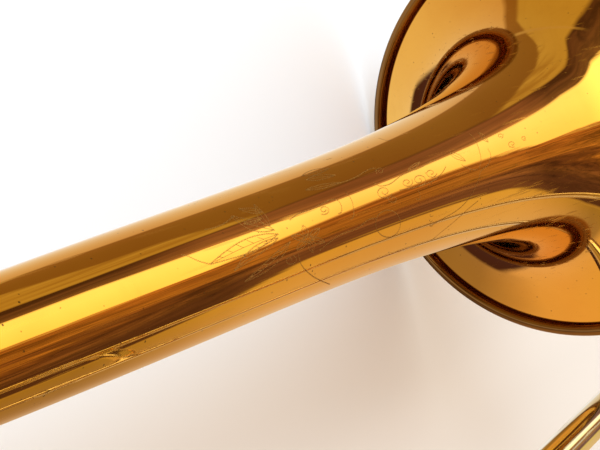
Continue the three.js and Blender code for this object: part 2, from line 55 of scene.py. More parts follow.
OUTER_R, OUTER_BORE = 7.6, 7.05
FLOOR_Z = ZB - RIM_R - 0.4

# outside of the bell sheet: distance behind the rim plane, radius
BELL = [
    [-0.55, 97.0], [-0.22, 96.42], [0.10, 95.86], [0.469, 95.20], [0.997, 94.197], [1.566, 92.826],
    [2.205, 91.165], [2.95, 89.228], [3.846, 87.039], [4.935, 84.627], [6.258, 82.027], [7.848, 79.276],
    [9.737, 76.412], [11.948, 73.474], [14.505, 70.499], [17.424, 67.521], [20.717, 64.567], [24.392, 61.663],
    [28.453, 58.829], [32.903, 56.08], [37.738, 53.428], [42.954, 50.883], [48.546, 48.45], [54.504, 46.133],
    [60.819, 43.932], [67.481, 41.848], [74.479, 39.879], [81.802, 38.022], [89.439, 36.273], [97.381, 34.629],
    [105.62, 33.086], [114.148, 31.642], [122.959, 30.294], [132.049, 29.04], [141.415, 27.876], [151.054, 26.802],
    [160.965, 25.814], [171.147, 24.909], [181.601, 24.086], [192.327, 23.34], [203.326, 22.667], [214.6, 22.063],
    [226.15, 21.522], [237.978, 21.037], [250.085, 20.6], [262.472, 20.204], [275.142, 19.837], [288.094, 19.489],
    [301.33, 19.148], [314.847, 18.803], [328.646, 18.442], [342.724, 18.056], [357.078, 17.635], [371.703, 17.171],
    [386.595, 16.658], [401.746, 16.093], [417.149, 15.476], [432.792, 14.807], [448.665, 14.095], [464.9, 13.45],
]


def bell_outside(n_per=4):
    """The bell's outside profile as [x, r], densely and smoothly sampled, rim first."""
    P = np.array(BELL)
    out = []
    for i in range(len(P) - 1):
        p0 = P[i - 1] if i else 2 * P[0] - P[1]
        p1, p2 = P[i], P[i + 1]
        p3 = P[i + 2] if i + 2 < len(P) else 2 * P[-1] - P[-2]
        for k in range(n_per):
            t = k / n_per
            out.append(
                0.5 * (2 * p1 + (p2 - p0) * t + (2 * p0 - 5 * p1 + 4 * p2 - p3) * t * t + (3 * p1 - p0 - 3 * p2 + p3) * t**3)
            )
    out.append(P[-1])
    out = np.array(out)
    return np.column_stack([RIM_X - out[:, 0], out[:, 1]])


def bell_radius(d):
    """Outside radius of the bell sheet at a distance behind the rim plane."""
    q = bell_outside(2)
    return float(np.interp(d, RIM_X - q[:, 0], q[:, 1]))


# ------------------------------------------------------------------ node helpers
class Tree:
    def __init__(self, tree):
        self.t = tree
        self.t.nodes.clear()

    def n(self, kind, _in=None, **props):
        node = self.t.nodes.new(kind)
        for k, v in props.items():
            setattr(node, k, v)
        for k, v in (_in or {}).items():
            self.put(node, k, v)
        return node

    def put(self, node, key, v):
        socket = node.inputs[key]
        if isinstance(v, bpy.types.NodeSocket):
            self.t.links.new(v, socket)
        else:
            socket.default_value = v

    def math(self, op, a, b=0.0, c=0.0, clamp=False):
        node = self.n("ShaderNodeMath", operation=op, use_clamp=clamp)
        for i, v in enumerate((a, b, c)):
            self.put(node, i, v)
        return node.outputs[0]

    def ramp(self, fac, stops, mode="LINEAR"):
        node = self.n("ShaderNodeValToRGB")
        cr = node.color_ramp
        cr.interpolation = mode
        while len(cr.elements) > 1:
            cr.elements.remove(cr.elements[-1])
        for i, (p, c) in enumerate(stops):
            e = cr.elements[0] if i == 0 else cr.elements.new(p)
            e.position = p
            e.color = (*c, 1.0) if len(c) == 3 else c
        self.put(node, "Fac", fac)
        return node.outputs["Color"]

    def maprange(self, v, a, b, c, d, smooth=False):
        node = self.n("ShaderNodeMapRange", interpolation_type="SMOOTHSTEP" if smooth else "LINEAR", clamp=True)
        for k, x in zip(("Value", "From Min", "From Max", "To Min", "To Max"), (v, a, b, c, d)):
            self.put(node, k, x)
        return node.outputs["Result"]

    def mix(self, fac, a, b, kind="RGBA", blend="MIX"):
        node = self.n("ShaderNodeMix", data_type=kind)
        if kind == "RGBA":
            node.blend_type = blend
            f, ai, bi, o = node.inputs[0], node.inputs[6], node.inputs[7], node.outputs[2]
        else:
            f, ai, bi, o = node.inputs[0], node.inputs[2], node.inputs[3], node.outputs[0]
        for s, v in ((f, fac), (ai, a), (bi, b)):
            if isinstance(v, bpy.types.NodeSocket):
                self.t.links.new(v, s)
            else:
                s.default_value = (*v, 1.0) if isinstance(v, tuple) and len(v) == 3 else v
        return o

    def piecewise(self, v, points, mode="LINEAR"):
        """A line, or with CARDINAL a smooth curve, through (x, y) points, flat beyond its ends."""
        xs, ys = [p[0] for p in points], [p[1] for p in points]
        x0, x1, y0, y1 = xs[0], xs[-1], min(ys), max(ys)
        f = self.math("DIVIDE", self.math("SUBTRACT", v, x0), x1 - x0)
        stops = [((x - x0) / (x1 - x0), ((y - y0) / (y1 - y0),) * 3) for x, y in points]
        return self.math("ADD", self.math("MULTIPLY", self.ramp(f, stops, mode), y1 - y0), y0)

    def noise(self, vec, scale, detail=3.0, rough=0.55, distortion=0.0):
        node = self.n("ShaderNodeTexNoise", {"Vector": vec, "Scale": scale, "Detail": detail, "Roughness": rough, "Distortion": distortion})
        return node.outputs["Fac"]

    def voronoi(self, vec, scale, out="Distance", feature="F1", rand=1.0):
        node = self.n("ShaderNodeTexVoronoi", {"Vector": vec, "Scale": scale, "Randomness": rand}, feature=feature)
        return node.outputs[out]

    def mapping(self, vec, scale=(1, 1, 1), rot=(0, 0, 0), loc=(0, 0, 0)):
        return self.n("ShaderNodeMapping", {"Vector": vec, "Scale": scale, "Rotation": rot, "Location": loc}).outputs[0]


def principled(name):
    mat = bpy.data.materials.new(name)
    mat.use_nodes = True
    T = Tree(mat.node_tree)
    out = T.n("ShaderNodeOutputMaterial")
    p = T.n("ShaderNodeBsdfPrincipled")
    T.t.links.new(p.outputs[0], out.inputs[0])
    return mat, T, p


def scratches(T, vec, count, width, seed=0.0):
    """Hairlines in a few directions, 0 to 1."""
    total = None
    for k in range(count):
        rot = (0.4 + 1.1 * k + seed, 0.9 * k + 0.3, 2.1 * k + 0.7 + seed)
        v = T.mapping(vec, scale=(14.0, 420.0, 90.0), rot=rot, loc=(k * 3.7, 1.3, 0.4 * k))
        n = T.noise(v, 1.6, detail=1.0, rough=0.4)
        line = T.maprange(n, 0.735 - width, 0.76, 0.0, 1.0)
        total = line if total is None else T.math("MAXIMUM", total, line)
    return total


def metal(name, base, deep, rough, wear=0.5, coat=0.0, coat_tint=(1, 1, 1), specks=0.0, waviness=0.0, hair=1.0, lines=0.0, centre=(0.0, ZB)):
    """Polished metal: colour drift, cloudy and scratched roughness, faint waviness, small blemishes."""
    mat, T, p = principled(name)
    tc = T.n("ShaderNodeTexCoord")
    obj = tc.outputs["Object"]
    big = T.noise(obj, 14.0, 4.0, 0.55)
    fine = T.noise(obj, 160.0, 5.0, 0.6)
    col = T.mix(T.maprange(big, 0.35, 0.68, 0.0, 1.0, True), base, deep)
    tarnish = T.math("MULTIPLY", T.maprange(T.noise(obj, 42.0, 6.0, 0.65, 0.6), 0.56, 0.72, 0.0, 1.0, True), 0.5 * wear)
    col = T.mix(tarnish, col, tuple(c * f for c, f in zip(deep, (0.86, 0.80, 0.70))))
    sc = scratches(T, obj, 4, 0.03, 0.2)
    sc2 = scratches(T, obj, 3, 0.015, 1.9)
    hairs = T.math("MAXIMUM", sc, sc2)
    r = T.math("ADD", rough, T.math("MULTIPLY", T.maprange(fine, 0.35, 0.7, 0.0, 1.0), 0.035 * wear))
    r = T.math("ADD", r, T.math("MULTIPLY", tarnish, 0.12))
    r = T.math("ADD", r, T.math("MULTIPLY", hairs, 0.16 * hair))
    if specks:
        d = T.voronoi(obj, 420.0)
        pick = T.noise(obj, 230.0, 1.0, 0.3)
        dot = T.math("MULTIPLY", T.maprange(d, 0.10, 0.16, 1.0, 0.0), T.maprange(pick, 0.60, 0.63, 0.0, 1.0))
        dot = T.math("MULTIPLY", dot, specks)
        col = T.mix(dot, col, (0.10, 0.045, 0.012))
        r = T.math("ADD", r, T.math("MULTIPLY", dot, 0.3))
    height = T.math("MULTIPLY", hairs, -0.25 * hair)
    if waviness:
        height = T.math("ADD", height, T.math("MULTIPLY", T.noise(obj, 22.0, 2.0, 0.4), waviness))
    if lines:
        # fine turning marks round the axis
        turn = T.noise(T.mapping(obj, scale=(1900.0, 6.0, 6.0)), 1.0, 2.0, 0.5)
        height = T.math("ADD", height, T.math("MULTIPLY", turn, lines))
    bump = T.n("ShaderNodeBump", {"Strength": 0.35, "Distance": 0.00004, "Height": height})
    T.put(p, "Base Color", col)
    p.inputs["Metallic"].default_value = 1.0
    T.put(p, "Roughness", r)
    T.put(p, "Normal", bump.outputs[0])
    if coat:
        p.inputs["Coat Weight"].default_value = coat
        p.inputs["Coat Roughness"].default_value = 0.03
        p.inputs["Coat IOR"].default_value = 1.5
        p.inputs["Coat Tint"].default_value = (*coat_tint, 1)
        T.put(p, "Coat Normal", bump.outputs[0])
    return mat


BRASS = metal("lacquered_brass", (0.86, 0.50, 0.105), (0.80, 0.435, 0.082), 0.035, wear=0.45, coat=0.35, specks=0.85, waviness=1.4, hair=0.8)
# painted shade: the rim's brass gets a much darker base colour than the bell, standing in for the dark reflections and
# contact shade along the bead
BRASS_RIM_SHADED = metal("lacquered_brass_rim", (0.25, 0.125, 0.034), (0.17, 0.082, 0.024), 0.05, wear=0.7, coat=0.3, specks=0.5, waviness=0.5, hair=0.6)
BRASS_PLAIN = metal("lacquered_brass_tube", (0.86, 0.50, 0.105), (0.79, 0.43, 0.08), 0.05, wear=0.7, coat=0.35, specks=0.6, waviness=1.0, hair=1.0)
NICKEL = metal("nickel_silver", (0.80, 0.775, 0.72), (0.72, 0.69, 0.63), 0.07, wear=0.9, waviness=0.8, hair=1.2)
NICKEL_TURNED = metal("nickel_silver_turned", (0.80, 0.775, 0.72), (0.71, 0.68, 0.61), 0.11, wear=1.1, waviness=0.3, hair=1.0, lines=0.6)
TUBE = metal("chromed_tube", (0.86, 0.86, 0.85), (0.80, 0.80, 0.79), 0.06, wear=0.8, waviness=0.5, hair=1.6, lines=0.25)
SILVER = metal("silver_plate", (0.93, 0.92, 0.90), (0.88, 0.86, 0.82), 0.05, wear=0.8, hair=1.0, lines=0.12)
STEEL = metal("spring_steel", (0.55, 0.56, 0.58), (0.44, 0.45, 0.47), 0.22, wear=1.0, hair=1.0)


def soft(name, base, deep, rough, grain, bump_d, pores=0.0):
    mat, T, p = principled(name)
    obj = T.n("ShaderNodeTexCoord").outputs["Object"]
    g = T.noise(obj, grain, 6.0, 0.65)
    col = T.mix(T.maprange(g, 0.35, 0.65, 0, 1), base, deep)
    if pores:
        v = T.voronoi(obj, grain * 1.6)
        dark = T.maprange(v, 0.05, 0.22, pores, 0.0)
        col = T.mix(dark, col, tuple(c * 0.35 for c in deep))
    scuff = scratches(T, obj, 3, 0.03, 0.8)
    col = T.mix(T.math("MULTIPLY", scuff, 0.35), col, tuple(min(1, c * 1.6 + 0.03) for c in base))
    T.put(p, "Base Color", col)
    T.put(p, "Roughness", T.maprange(g, 0.3, 0.7, rough - 0.12, min(1.0, rough + 0.1)))
    b = T.n("ShaderNodeBump", {"Strength": 0.6, "Distance": bump_d, "Height": g})
    T.put(p, "Normal", b.outputs[0])
    return mat


CORK = soft("natural_cork", (0.50, 0.30, 0.15), (0.34, 0.18, 0.085), 0.85, 900.0, 0.0002, pores=0.9)
RUBBER = soft("bumper_rubber", (0.022, 0.021, 0.020), (0.012, 0.012, 0.012), 0.72, 700.0, 0.0001)


def engraving_material():
    mat, T, p = principled("engraved_cut")
    obj = T.n("ShaderNodeTexCoord").outputs["Object"]
    g = T.noise(obj, 1500.0, 3.0, 0.6)
    col = T.mix(T.maprange(g, 0.35, 0.65, 0, 1), (0.50, 0.27, 0.07), (0.30, 0.14, 0.03))
    T.put(p, "Base Color", col)
    p.inputs["Metallic"].default_value = 0.75
    T.put(p, "Roughness", T.maprange(g, 0.3, 0.7, 0.42, 0.62))
    b = T.n("ShaderNodeBump", {"Strength": 0.6, "Distance": 0.00008, "Height": g})
    T.put(p, "Normal", b.outputs[0])
    return mat


ENGRAVED = engraving_material()


# ------------------------------------------------------------------ mesh helpers (input in millimetres)
def mesh_object(name, verts, faces, mat, body=None, nodes=(), smooth=True, sharp=40.0):
    V = np.asarray(verts, float) * 0.001
    me = bpy.data.meshes.new(name)
    me.from_pydata(V.tolist(), [], [list(map(int, f)) for f in faces])
    me.update()
    # outward faces
    me.calc_loop_triangles()
    tri = np.array([t.vertices[:] for t in me.loop_triangles])
    a, b, c = V[tri[:, 0]], V[tri[:, 1]], V[tri[:, 2]]
    if np.einsum("ij,ij->i", a, np.cross(b, c)).sum() < 0:
        me.flip_normals()
    if smooth:
        me.shade_smooth()
        me.set_sharp_from_angle(angle=math.radians(sharp))
    me.materials.append(mat)
    ob = bpy.data.objects.new(name, me)
    bpy.context.scene.collection.objects.link(ob)
    if body:
        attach(ob, body)
    if nodes:
        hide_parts(*nodes)
    return ob


def fillet(points, radius, n=4, closed=True):
    """Rounds a polyline's corners; radius is a number or a list, one per point."""
    P = [np.array(p, float) for p in points]
    N = len(P)
    out = []
    for i, p in enumerate(P):
        r = radius[i] if isinstance(radius, (list, tuple)) else radius
        if (not closed and i in (0, N - 1)) or r <= 0:
            out.append(p)
            continue
        a, b = P[i - 1], P[(i + 1) % N]
        da, db = a - p, b - p
        la, lb = np.linalg.norm(da), np.linalg.norm(db)
        if la < 1e-6 or lb < 1e-6:
            out.append(p)
            continue
        cosang = float(np.clip(da @ db / la / lb, -1, 1))
        if cosang < -0.995:
            out.append(p)
            continue
        t = min(r / max(math.tan(math.acos(cosang) / 2), 1e-3), 0.45 * la, 0.45 * lb)
        s, e = p + da / la * t, p + db / lb * t
        for k in range(n + 1):
            u = k / n
            out.append((1 - u) ** 2 * s + 2 * u * (1 - u) * p + u * u * e)
    return [list(map(float, q)) for q in out]


def densify(points, step, closed=True):
    P = [np.array(p, float) for p in points]
    out = []
    for i in range(len(P) if closed else len(P) - 1):
        a, b = P[i], P[(i + 1) % len(P)]
        n = max(1, int(math.ceil(np.linalg.norm(b - a) / step)))
        out += [a + (b - a) * k / n for k in range(n)]
    if not closed:
        out.append(P[-1])
    return [list(map(float, q)) for q in out]


def revolve(profile, seg, axis="X", at=(0, 0, 0), closed=True, radial=None):
    """Vertices and faces of a turned piece. Profile points are [along, radius]; open profiles end on the axis.
    radial(along, angle, r) may change the radius."""
    prof = np.array(profile, float)
    ang = np.linspace(0, 2 * math.pi, seg, endpoint=False)
    verts, rows = [], []
    for s, r in prof:
        if not closed and r < 1e-6:
            rows.append([len(verts)])
            verts.append((s, 0.0, 0.0))
            continue
        row = []
        rr = np.full(seg, r) if radial is None else radial(s, ang, r)
        for a, q in zip(ang, rr):
            row.append(len(verts))
            verts.append((s, q * math.cos(a), q * math.sin(a)))
        rows.append(row)
    faces = []
    m = len(rows)
    for i in range(m if closed else m - 1):
        A, B = rows[i], rows[(i + 1) % m]
        if len(A) == 1 and len(B) == 1:
            continue
        for j in range(seg):
            k = (j + 1) % seg
            if len(A) == 1:
                faces.append((A[0], B[j], B[k]))
            elif len(B) == 1:
                faces.append((A[j], B[0], A[k]))
            else:
                faces.append((A[j], B[j], B[k], A[k]))
    V = np.array(verts)
    if axis == "Y":
        V = np.column_stack([-V[:, 1], V[:, 0], V[:, 2]])
    elif axis == "Z":
        V = np.column_stack([-V[:, 2], V[:, 1], V[:, 0]])
    return V + np.array(at, float), faces


def turned(name, profile, mat, body, nodes, y=0.0, z=0.0, seg=96, r=0.25, n=4, radial=None, sharp=40.0, step=None):
    p = fillet(profile, r, n)
    if step:
        p = densify(p, step)
    V, F = revolve(p, seg, "X", (0, y, z), True, radial)
    return mesh_object(name, V, F, mat, body, nodes, sharp=sharp)


def tube(x0, x1, ri, ro):
    return [[x0, ri], [x1, ri], [x1, ro], [x0, ro]]


def swept(stations, up, seg):
    """Hollow sweep: stations are (centre, direction, outer radius, inner radius)."""
    up = np.array(up, float)
    verts, rows = [], []
    for which in (2, 3):
        for st in stations:
            c, t = np.array(st[0], float), np.array(st[1], float)
            side = np.cross(t, up)
            side /= np.linalg.norm(side)
            row = []
            for j in range(seg):
                a = 2 * math.pi * j / seg
                row.append(len(verts))
                verts.append(c + up * st[which] * math.cos(a) + side * st[which] * math.sin(a))
            rows.append(row)
    m = len(stations)
    faces = []

    def band(A, B):
        for j in range(seg):
            k = (j + 1) % seg
            faces.append((A[j], B[j], B[k], A[k]))

    for i in range(m - 1):
        band(rows[i], rows[i + 1])
        band(rows[m + i + 1], rows[m + i])
    band(rows[m], rows[0])
    band(rows[m - 1], rows[2 * m - 1])
    return verts, faces


def loft(rings, cap=True):
    """Joins rings of points (each the same length) into a closed skin."""
    verts = [p for ring in rings for p in ring]
    s = len(rings[0])
    faces = []
    for i in range(len(rings) - 1):
        for j in range(s):
            k = (j + 1) % s
            faces.append((i * s + j, i * s + k, (i + 1) * s + k, (i + 1) * s + j))
    if cap:
        faces.append(tuple(range(s))[::-1])
        faces.append(tuple(range((len(rings) - 1) * s, len(rings) * s)))
    return verts, faces


def bar(path, widths, heights, up, seg=20, power=3.0):
    """A flattened bar along a path with rounded-rectangle sections and flat end caps."""
    P = np.array(path, float)
    up = np.array(up, float)
    T = np.gradient(P, axis=0)
    T /= np.linalg.norm(T, axis=1)[:, None]
    rings = []
    n = len(P)
    for i in range(n):
        side = np.cross(T[i], up)
        side /= np.linalg.norm(side)
        nrm = np.cross(side, T[i])
        ring = []
        for j in range(seg):
            a = 2 * math.pi * j / seg
            ca, sa = math.cos(a), math.sin(a)
            e = 2.0 / power
            u = math.copysign(abs(ca) ** e, ca) * widths[i] / 2
            v = math.copysign(abs(sa) ** e, sa) * heights[i] / 2
            ring.append(P[i] + side * u + nrm * v)
        rings.append(ring)
    return loft(rings)


def merged(*parts):
    V, F = [], []
    for v, f in parts:
        o = len(V)
        V += [tuple(map(float, p)) for p in v]
        F += [tuple(i + o for i in face) for face in f]
    return V, F


# ------------------------------------------------------------------ bell
def build_bell():
    out = bell_outside(4)
    t = np.gradient(out, axis=0)
    t /= np.linalg.norm(t, axis=1)[:, None]
    wall = 0.6
    inner = out + wall * np.column_stack([-t[:, 1], t[:, 0]])
    if inner[len(inner) // 2, 1] > out[len(out) // 2, 1]:
        inner = out - wall * np.column_stack([-t[:, 1], t[:, 0]])
    prof = np.vstack([out, inner[::-1]])
    V, F = revolve(prof, 288, "X", (0, BY, ZB))
    mesh_object("bell_sheet", V, F, BRASS, "bell_section", ["bell"], sharp=60)
    # rolled rim with its curl seam at the back
    ring = []
    for k in range(56):
        a = -2.62 + k / 55 * (2.62 + 2.2)
        ring.append([RIM_X + BEAD_R * math.sin(a), RIM_R - BEAD_R + BEAD_R * math.cos(a)])
    tail = [[RIM_X + 1.55, 97.0], [RIM_X + 0.35, 96.95], [RIM_X + 0.4, 98.4], [RIM_X - 0.9, 98.2], [RIM_X - 1.7, 97.2]]
    V, F = revolve(ring + tail, 288, "X", (0, BY, ZB))
    mesh_object("bell_rolled_rim", V, F, BRASS_RIM_SHADED, "bell_section", ["bell_rim_wire"], sharp=50)


build_bell()


# ------------------------------------------------------------------ engraving on the flare
# leaves, scrolls and an oval: "w" is a wriggle cut, "l" a plain line; points are [distance behind the rim, degrees round]
ENGRAVING = [
    ("w", [(289.7, 76.6), (295, 72.9), (301.9, 71), (308.9, 71.9), (315.5, 74.8), (320.4, 77.8), (323.5, 79.9)]),
    ("w", [(289.7, 76.6), (295.1, 80.1), (302.1, 82.1), (308.8, 82.4), (315.5, 81.5), (320.3, 80.6), (323.5, 79.9)]),
    ("l", [(289.7, 76.6), (300.4, 76.5), (310.6, 77.4), (321, 79.3)]),
    ("l", [(296.9, 76.5), (299.3, 73.1)]),
    ("l", [(302.1, 76.6), (304.4, 72.1)]),
    ("l", [(307.3, 77), (309.5, 72.5)]),
    ("l", [(312.3, 77.6), (314.5, 74.1)]),
    ("l", [(317.2, 78.5), (319.4, 76.4)]),
    ("w", [(290.5, 72.2), (292, 67.1), (294.5, 61.5), (297.1, 56.6), (299.8, 52), (301.8, 48.5), (303, 46)]),
    ("w", [(290.5, 72.2), (294.3, 71.2), (298.2, 68), (300.9, 63), (302.4, 56.3), (303, 50.4), (303, 46)]),
    ("l", [(290.5, 72.2), (295.5, 65.9), (299.7, 58.5), (302.5, 48.7)]),
    ("l", [(294, 68.1), (293.8, 64.2)]),
    ("l", [(296.4, 64.8), (295.7, 60.2)]),
    ("l", [(298.4, 61.1), (297.6, 56.5)]),
    ("l", [(300.2, 57.1), (299.6, 52.8)]),
    ("l", [(301.6, 52.6), (301.4, 49.2)]),
    ("w", [(290.5, 79.7), (294.8, 78.3), (300.2, 78.7), (305.1, 81.1), (309.6, 85.3), (312.6, 89.3), (314.6, 92.1)]),
    ("w", [(290.5, 79.7), (294.1, 82.8), (299, 85.5), (303.9, 87.6), (308.8, 89.6), (312.3, 91), (314.6, 92.1)]),
    ("l", [(290.5, 79.7), (298.4, 81.7), (305.7, 85.1), (312.9, 90.5)]),
    ("l", [(295.8, 80.9), (297.9, 79.5)]),
    ("l", [(299.6, 82.1), (301.8, 80)]),
    ("l", [(303.4, 83.7), (305.5, 81.7)]),
    ("l", [(307, 85.8), (309, 84.3)]),
    ("l", [(310.3, 88.3), (312.2, 87.7)]),
    ("w", [(291.2, 67.8), (290.4, 64), (289.9, 59), (289.8, 54.2), (289.7, 49.3), (289.5, 45.4), (289.3, 42.6)]),
    ("w", [(291.2, 67.8), (292.7, 65), (293.6, 60.8), (293.3, 56), (292, 50.4), (290.5, 45.9), (289.3, 42.6)]),
    ("l", [(291.2, 67.8), (291.7, 61.1), (291.4, 53.8), (290, 45.2)]),
    ("w", [(285.5, 86.5), (289.9, 88.2), (295.2, 91.7), (300.2, 95.6), (304.9, 99.5), (308.4, 102.3), (310.7, 104)]),
    ("w", [(285.5, 86.5), (288.8, 92.3), (293.3, 98.1), (298.2, 101.7), (303.5, 103.6), (307.8, 104), (310.7, 104)]),
    ("l", [(285.5, 86.5), (293, 93.8), (300.5, 99.4), (308.6, 103.3)]),
    ("l", [(290.6, 91.5), (293, 90.6)]),
    ("l", [(294.3, 94.9), (296.8, 93.4)]),
    ("l", [(297.9, 97.8), (300.6, 96.3)]),
    ("l", [(301.7, 100.2), (304.2, 99.2)]),
    ("l", [(305.5, 102.1), (307.7, 101.9)]),
    ("w", [(323.5, 79.9), (327.4, 73.8), (330.6, 66.1), (332.5, 63.9)]),
    ("w", [(301.7, 47.5), (306.9, 50.7), (312.1, 51.7), (317.2, 50.3)]),
    ("w", [(274.6, 91.3), (273.9, 93.6), (272.7, 95.7), (271.3, 96.8), (269.6, 97.4), (268.3, 97.6), (267.4, 97.7)]),
    ("w", [(274.6, 91.3), (273.1, 90.8), (271.6, 91.3), (270.1, 92.7), (269, 94.7), (268.1, 96.4), (267.4, 97.7)]),
    ("l", [(274.6, 91.3), (272.4, 93.2), (270.4, 95.1), (268.1, 97.1)]),
    ("w", [(276, 92.5), (276.8, 94), (277.1, 96.1), (276.8, 98.2), (275.9, 100.3), (275.1, 101.9), (274.5, 103)]),
    ("w", [(276, 92.5), (274.9, 94), (274.1, 96.1), (273.9, 98.2), (274.1, 100.3), (274.3, 101.9), (274.5, 103)]),
    ("l", [(276, 92.5), (275.7, 95.5), (275.3, 98.7), (274.7, 102.1)]),
    ("w", [(277.8, 90.8), (279.1, 89.9), (280.6, 89.8), (281.7, 90.8), (282.5, 92.3), (283.1, 93.8), (283.4, 94.8)]),
    ("w", [(277.8, 90.8), (278.1, 92.9), (279, 94.6), (280.1, 95.3), (281.6, 95.2), (282.7, 95), (283.4, 94.8)]),
    ("l", [(277.8, 90.8), (279.5, 92), (281.2, 93.2), (283, 94.5)]),
    ("w", [(278, 88), (278.5, 85.7), (279.4, 83.8), (280.8, 82.7), (282.3, 82.2), (283.4, 82), (284.2, 81.9)]),
    ("w", [(278, 88), (279.3, 88.5), (280.8, 88), (282, 86.7), (283.1, 84.8), (283.8, 83.1), (284.2, 81.9)]),
    ("l", [(278, 88), (279.9, 86.2), (281.7, 84.4), (283.7, 82.4)]),
    ("w", [(276.4, 86.9), (275.5, 85.4), (275, 83.4), (275.1, 81.3), (275.6, 79.3), (276.1, 77.8), (276.4, 76.8)]),
    ("w", [(276.4, 86.9), (277.4, 85.4), (278, 83.4), (278, 81.4), (277.4, 79.4), (276.9, 77.8), (276.4, 76.8)]),
    ("l", [(276.4, 86.9), (276.5, 83.9), (276.5, 80.9), (276.5, 77.6)]),
    ("w", [(274.8, 88.5), (273.3, 89.4), (271.9, 89.5), (270.7, 88.6), (269.8, 87), (269.1, 85.5), (268.7, 84.5)]),
    ("w", [(274.8, 88.5), (274.3, 86.4), (273.3, 84.8), (272, 84.1), (270.6, 84.1), (269.4, 84.3), (268.7, 84.5)]),
    ("l", [(274.8, 88.5), (272.9, 87.3), (271.1, 86.1), (269.1, 84.9)]),
    ("w", [(275.3, 90.3), (275.7, 91.3), (276.5, 91.3), (277.1, 90.4), (277.2, 89), (276.8, 88.1), (276, 88.1), (275.4, 89), (275.3, 90.3)]),
    ("w", [(274.4, 90.8), (275.3, 92.5), (276.6, 92.6), (277.9, 90.9), (278.1, 88.5), (277.2, 86.9), (275.8, 86.8), (274.6, 88.4), (274.4, 90.8)]),
    ("l", [(274, 91), (272.8, 91.8)]),
    ("l", [(274.3, 92.2), (273.3, 93.6)]),
    ("l", [(275.1, 93), (274.4, 94.8)]),
    ("l", [(276, 93.1), (275.8, 95.1)]),
    ("l", [(276.9, 92.7), (277.3, 94.4)]),
    ("l", [(277.8, 91.8), (278.6, 92.9)]),
    ("l", [(278.3, 90.4), (279.4, 90.9)]),
    ("l", [(278.6, 89), (279.8, 88.6)]),
    ("l", [(278.3, 87.7), (279.4, 86.6)]),
    ("l", [(277.8, 86.7), (278.5, 85.1)]),
    ("l", [(276.9, 86.2), (277.1, 84.3)]),
    ("l", [(275.9, 86.4), (275.7, 84.5)]),
    ("l", [(275.1, 87.1), (274.4, 85.6)]),
    ("l", [(274.3, 88.2), (273.3, 87.4)]),
    ("l", [(274.1, 89.6), (272.7, 89.6)]),
    ("w", [(270.8, 102.6), (264.8, 99.2), (257.5, 96.4), (249, 96.8), (241, 93.2), (236, 94.1)]),
    ("w", [(282.8, 98.7), (280.8, 110.4), (272.3, 126.3), (256.6, 147)]),
    ("w", [(285.2, 98.4), (284.1, 101.4), (284.3, 104), (285.6, 105), (287.2, 104.5), (288.7, 102.8), (289.3, 100.7), (289.1, 99.2), (288.2, 98.6), (287.2, 99), (286.5, 100), (286.3, 101.1), (286.5, 101.8), (286.8, 101.9)]),
    ("w", [(281, 69), (275.8, 66.6), (269.1, 67), (263, 66.1), (256.7, 65), (253.3, 67.2), (252.8, 72.6), (254.2, 78.1), (256.6, 79)]),
    ("w", [(246.4, 65.4), (246, 70.8), (246.8, 77.1), (248.7, 85.4), (251.3, 87.5)]),
    ("w", [(264.9, 74.2), (263.2, 75.3), (261.4, 74.9), (260.3, 73.3), (260.1, 71.2), (260.9, 69.4), (262, 68.6), (263.3, 69), (264, 70.2), (264.1, 71.6), (263.6, 72.6), (262.8, 72.9), (262.2, 72.6), (261.8, 71.9), (262, 71.4)]),
    ("w", [(222.4, 79.6), (225, 81.1), (227.8, 80.3), (229.9, 77.9), (230.2, 74.9), (229.1, 72.5), (227.1, 71.4), (225.2, 72.1), (224, 73.8), (223.8, 75.8), (224.6, 77.3), (225.8, 77.8), (226.9, 77.4), (227.6, 76.3), (227.6, 75.3), (227, 74.7)]),
    ("w", [(225.7, 81.8), (225.8, 84), (224.7, 85.9), (223.1, 86.8), (221.7, 86.5), (220.9, 85.3), (221.1, 83.9), (221.8, 82.8), (222.7, 82.3), (223.4, 82.6), (223.8, 83.3), (223.7, 84), (223.3, 84.3)]),
    ("w", [(206.8, 74.3), (207.2, 76.8), (208.7, 78.3), (210.7, 78.4), (212.4, 77.2), (213.1, 75.4), (212.7, 73.6), (211.6, 72.6), (210.3, 72.6), (209.3, 73.5), (208.9, 74.6), (209.2, 75.6), (209.9, 76), (210.6, 75.9), (210.9, 75.4)]),
    ("w", [(204.5, 81.5), (201.4, 81.8), (199.3, 80.2), (198.6, 77.5), (199.4, 74.8), (201.3, 73.2), (203.3, 73.1), (204.9, 74.3), (205.4, 76.2), (204.8, 77.9), (203.5, 78.9), (202.2, 78.9), (201.4, 78.1), (201.3, 77), (201.7, 76.1), (202.4, 75.9)]),
    ("w", [(190, 77.4), (192, 78.7), (194.2, 78.4), (195.8, 76.8), (196.3, 74.8), (195.6, 73.1), (194.2, 72.3), (192.8, 72.6), (191.9, 73.7), (191.7, 74.9), (192.1, 75.8), (193, 76.1), (193.7, 75.8), (193.9, 75.3)]),
    ("w", [(228.8, 64.8), (226.8, 69.3), (220.6, 70.8), (212.4, 67.8), (205.2, 67.1), (198.1, 67.3), (190, 65.7), (185.7, 66)]),
    ("w", [(216.7, 78.9), (209, 81), (200.8, 81.8), (193.5, 81.4), (186.6, 78.3), (181.9, 74)]),
    ("w", [(174.6, 64.9), (174.7, 67.6), (173.8, 70.3), (172.4, 72.5), (170.5, 74.3), (168.9, 75.5), (167.7, 76.2)]),
    ("w", [(174.6, 64.9), (172.8, 65.9), (171, 67.7), (169.7, 70), (168.8, 72.7), (168.2, 74.8), (167.7, 76.2)]),
    ("l", [(174.6, 64.9), (172.8, 68.4), (170.7, 71.8), (168.3, 75.4)]),
    ("w", [(206, 65.9), (204.5, 66.5), (202.4, 66.3), (200.4, 65.6), (198.3, 64.3), (196.7, 63.2), (195.7, 62.4)]),
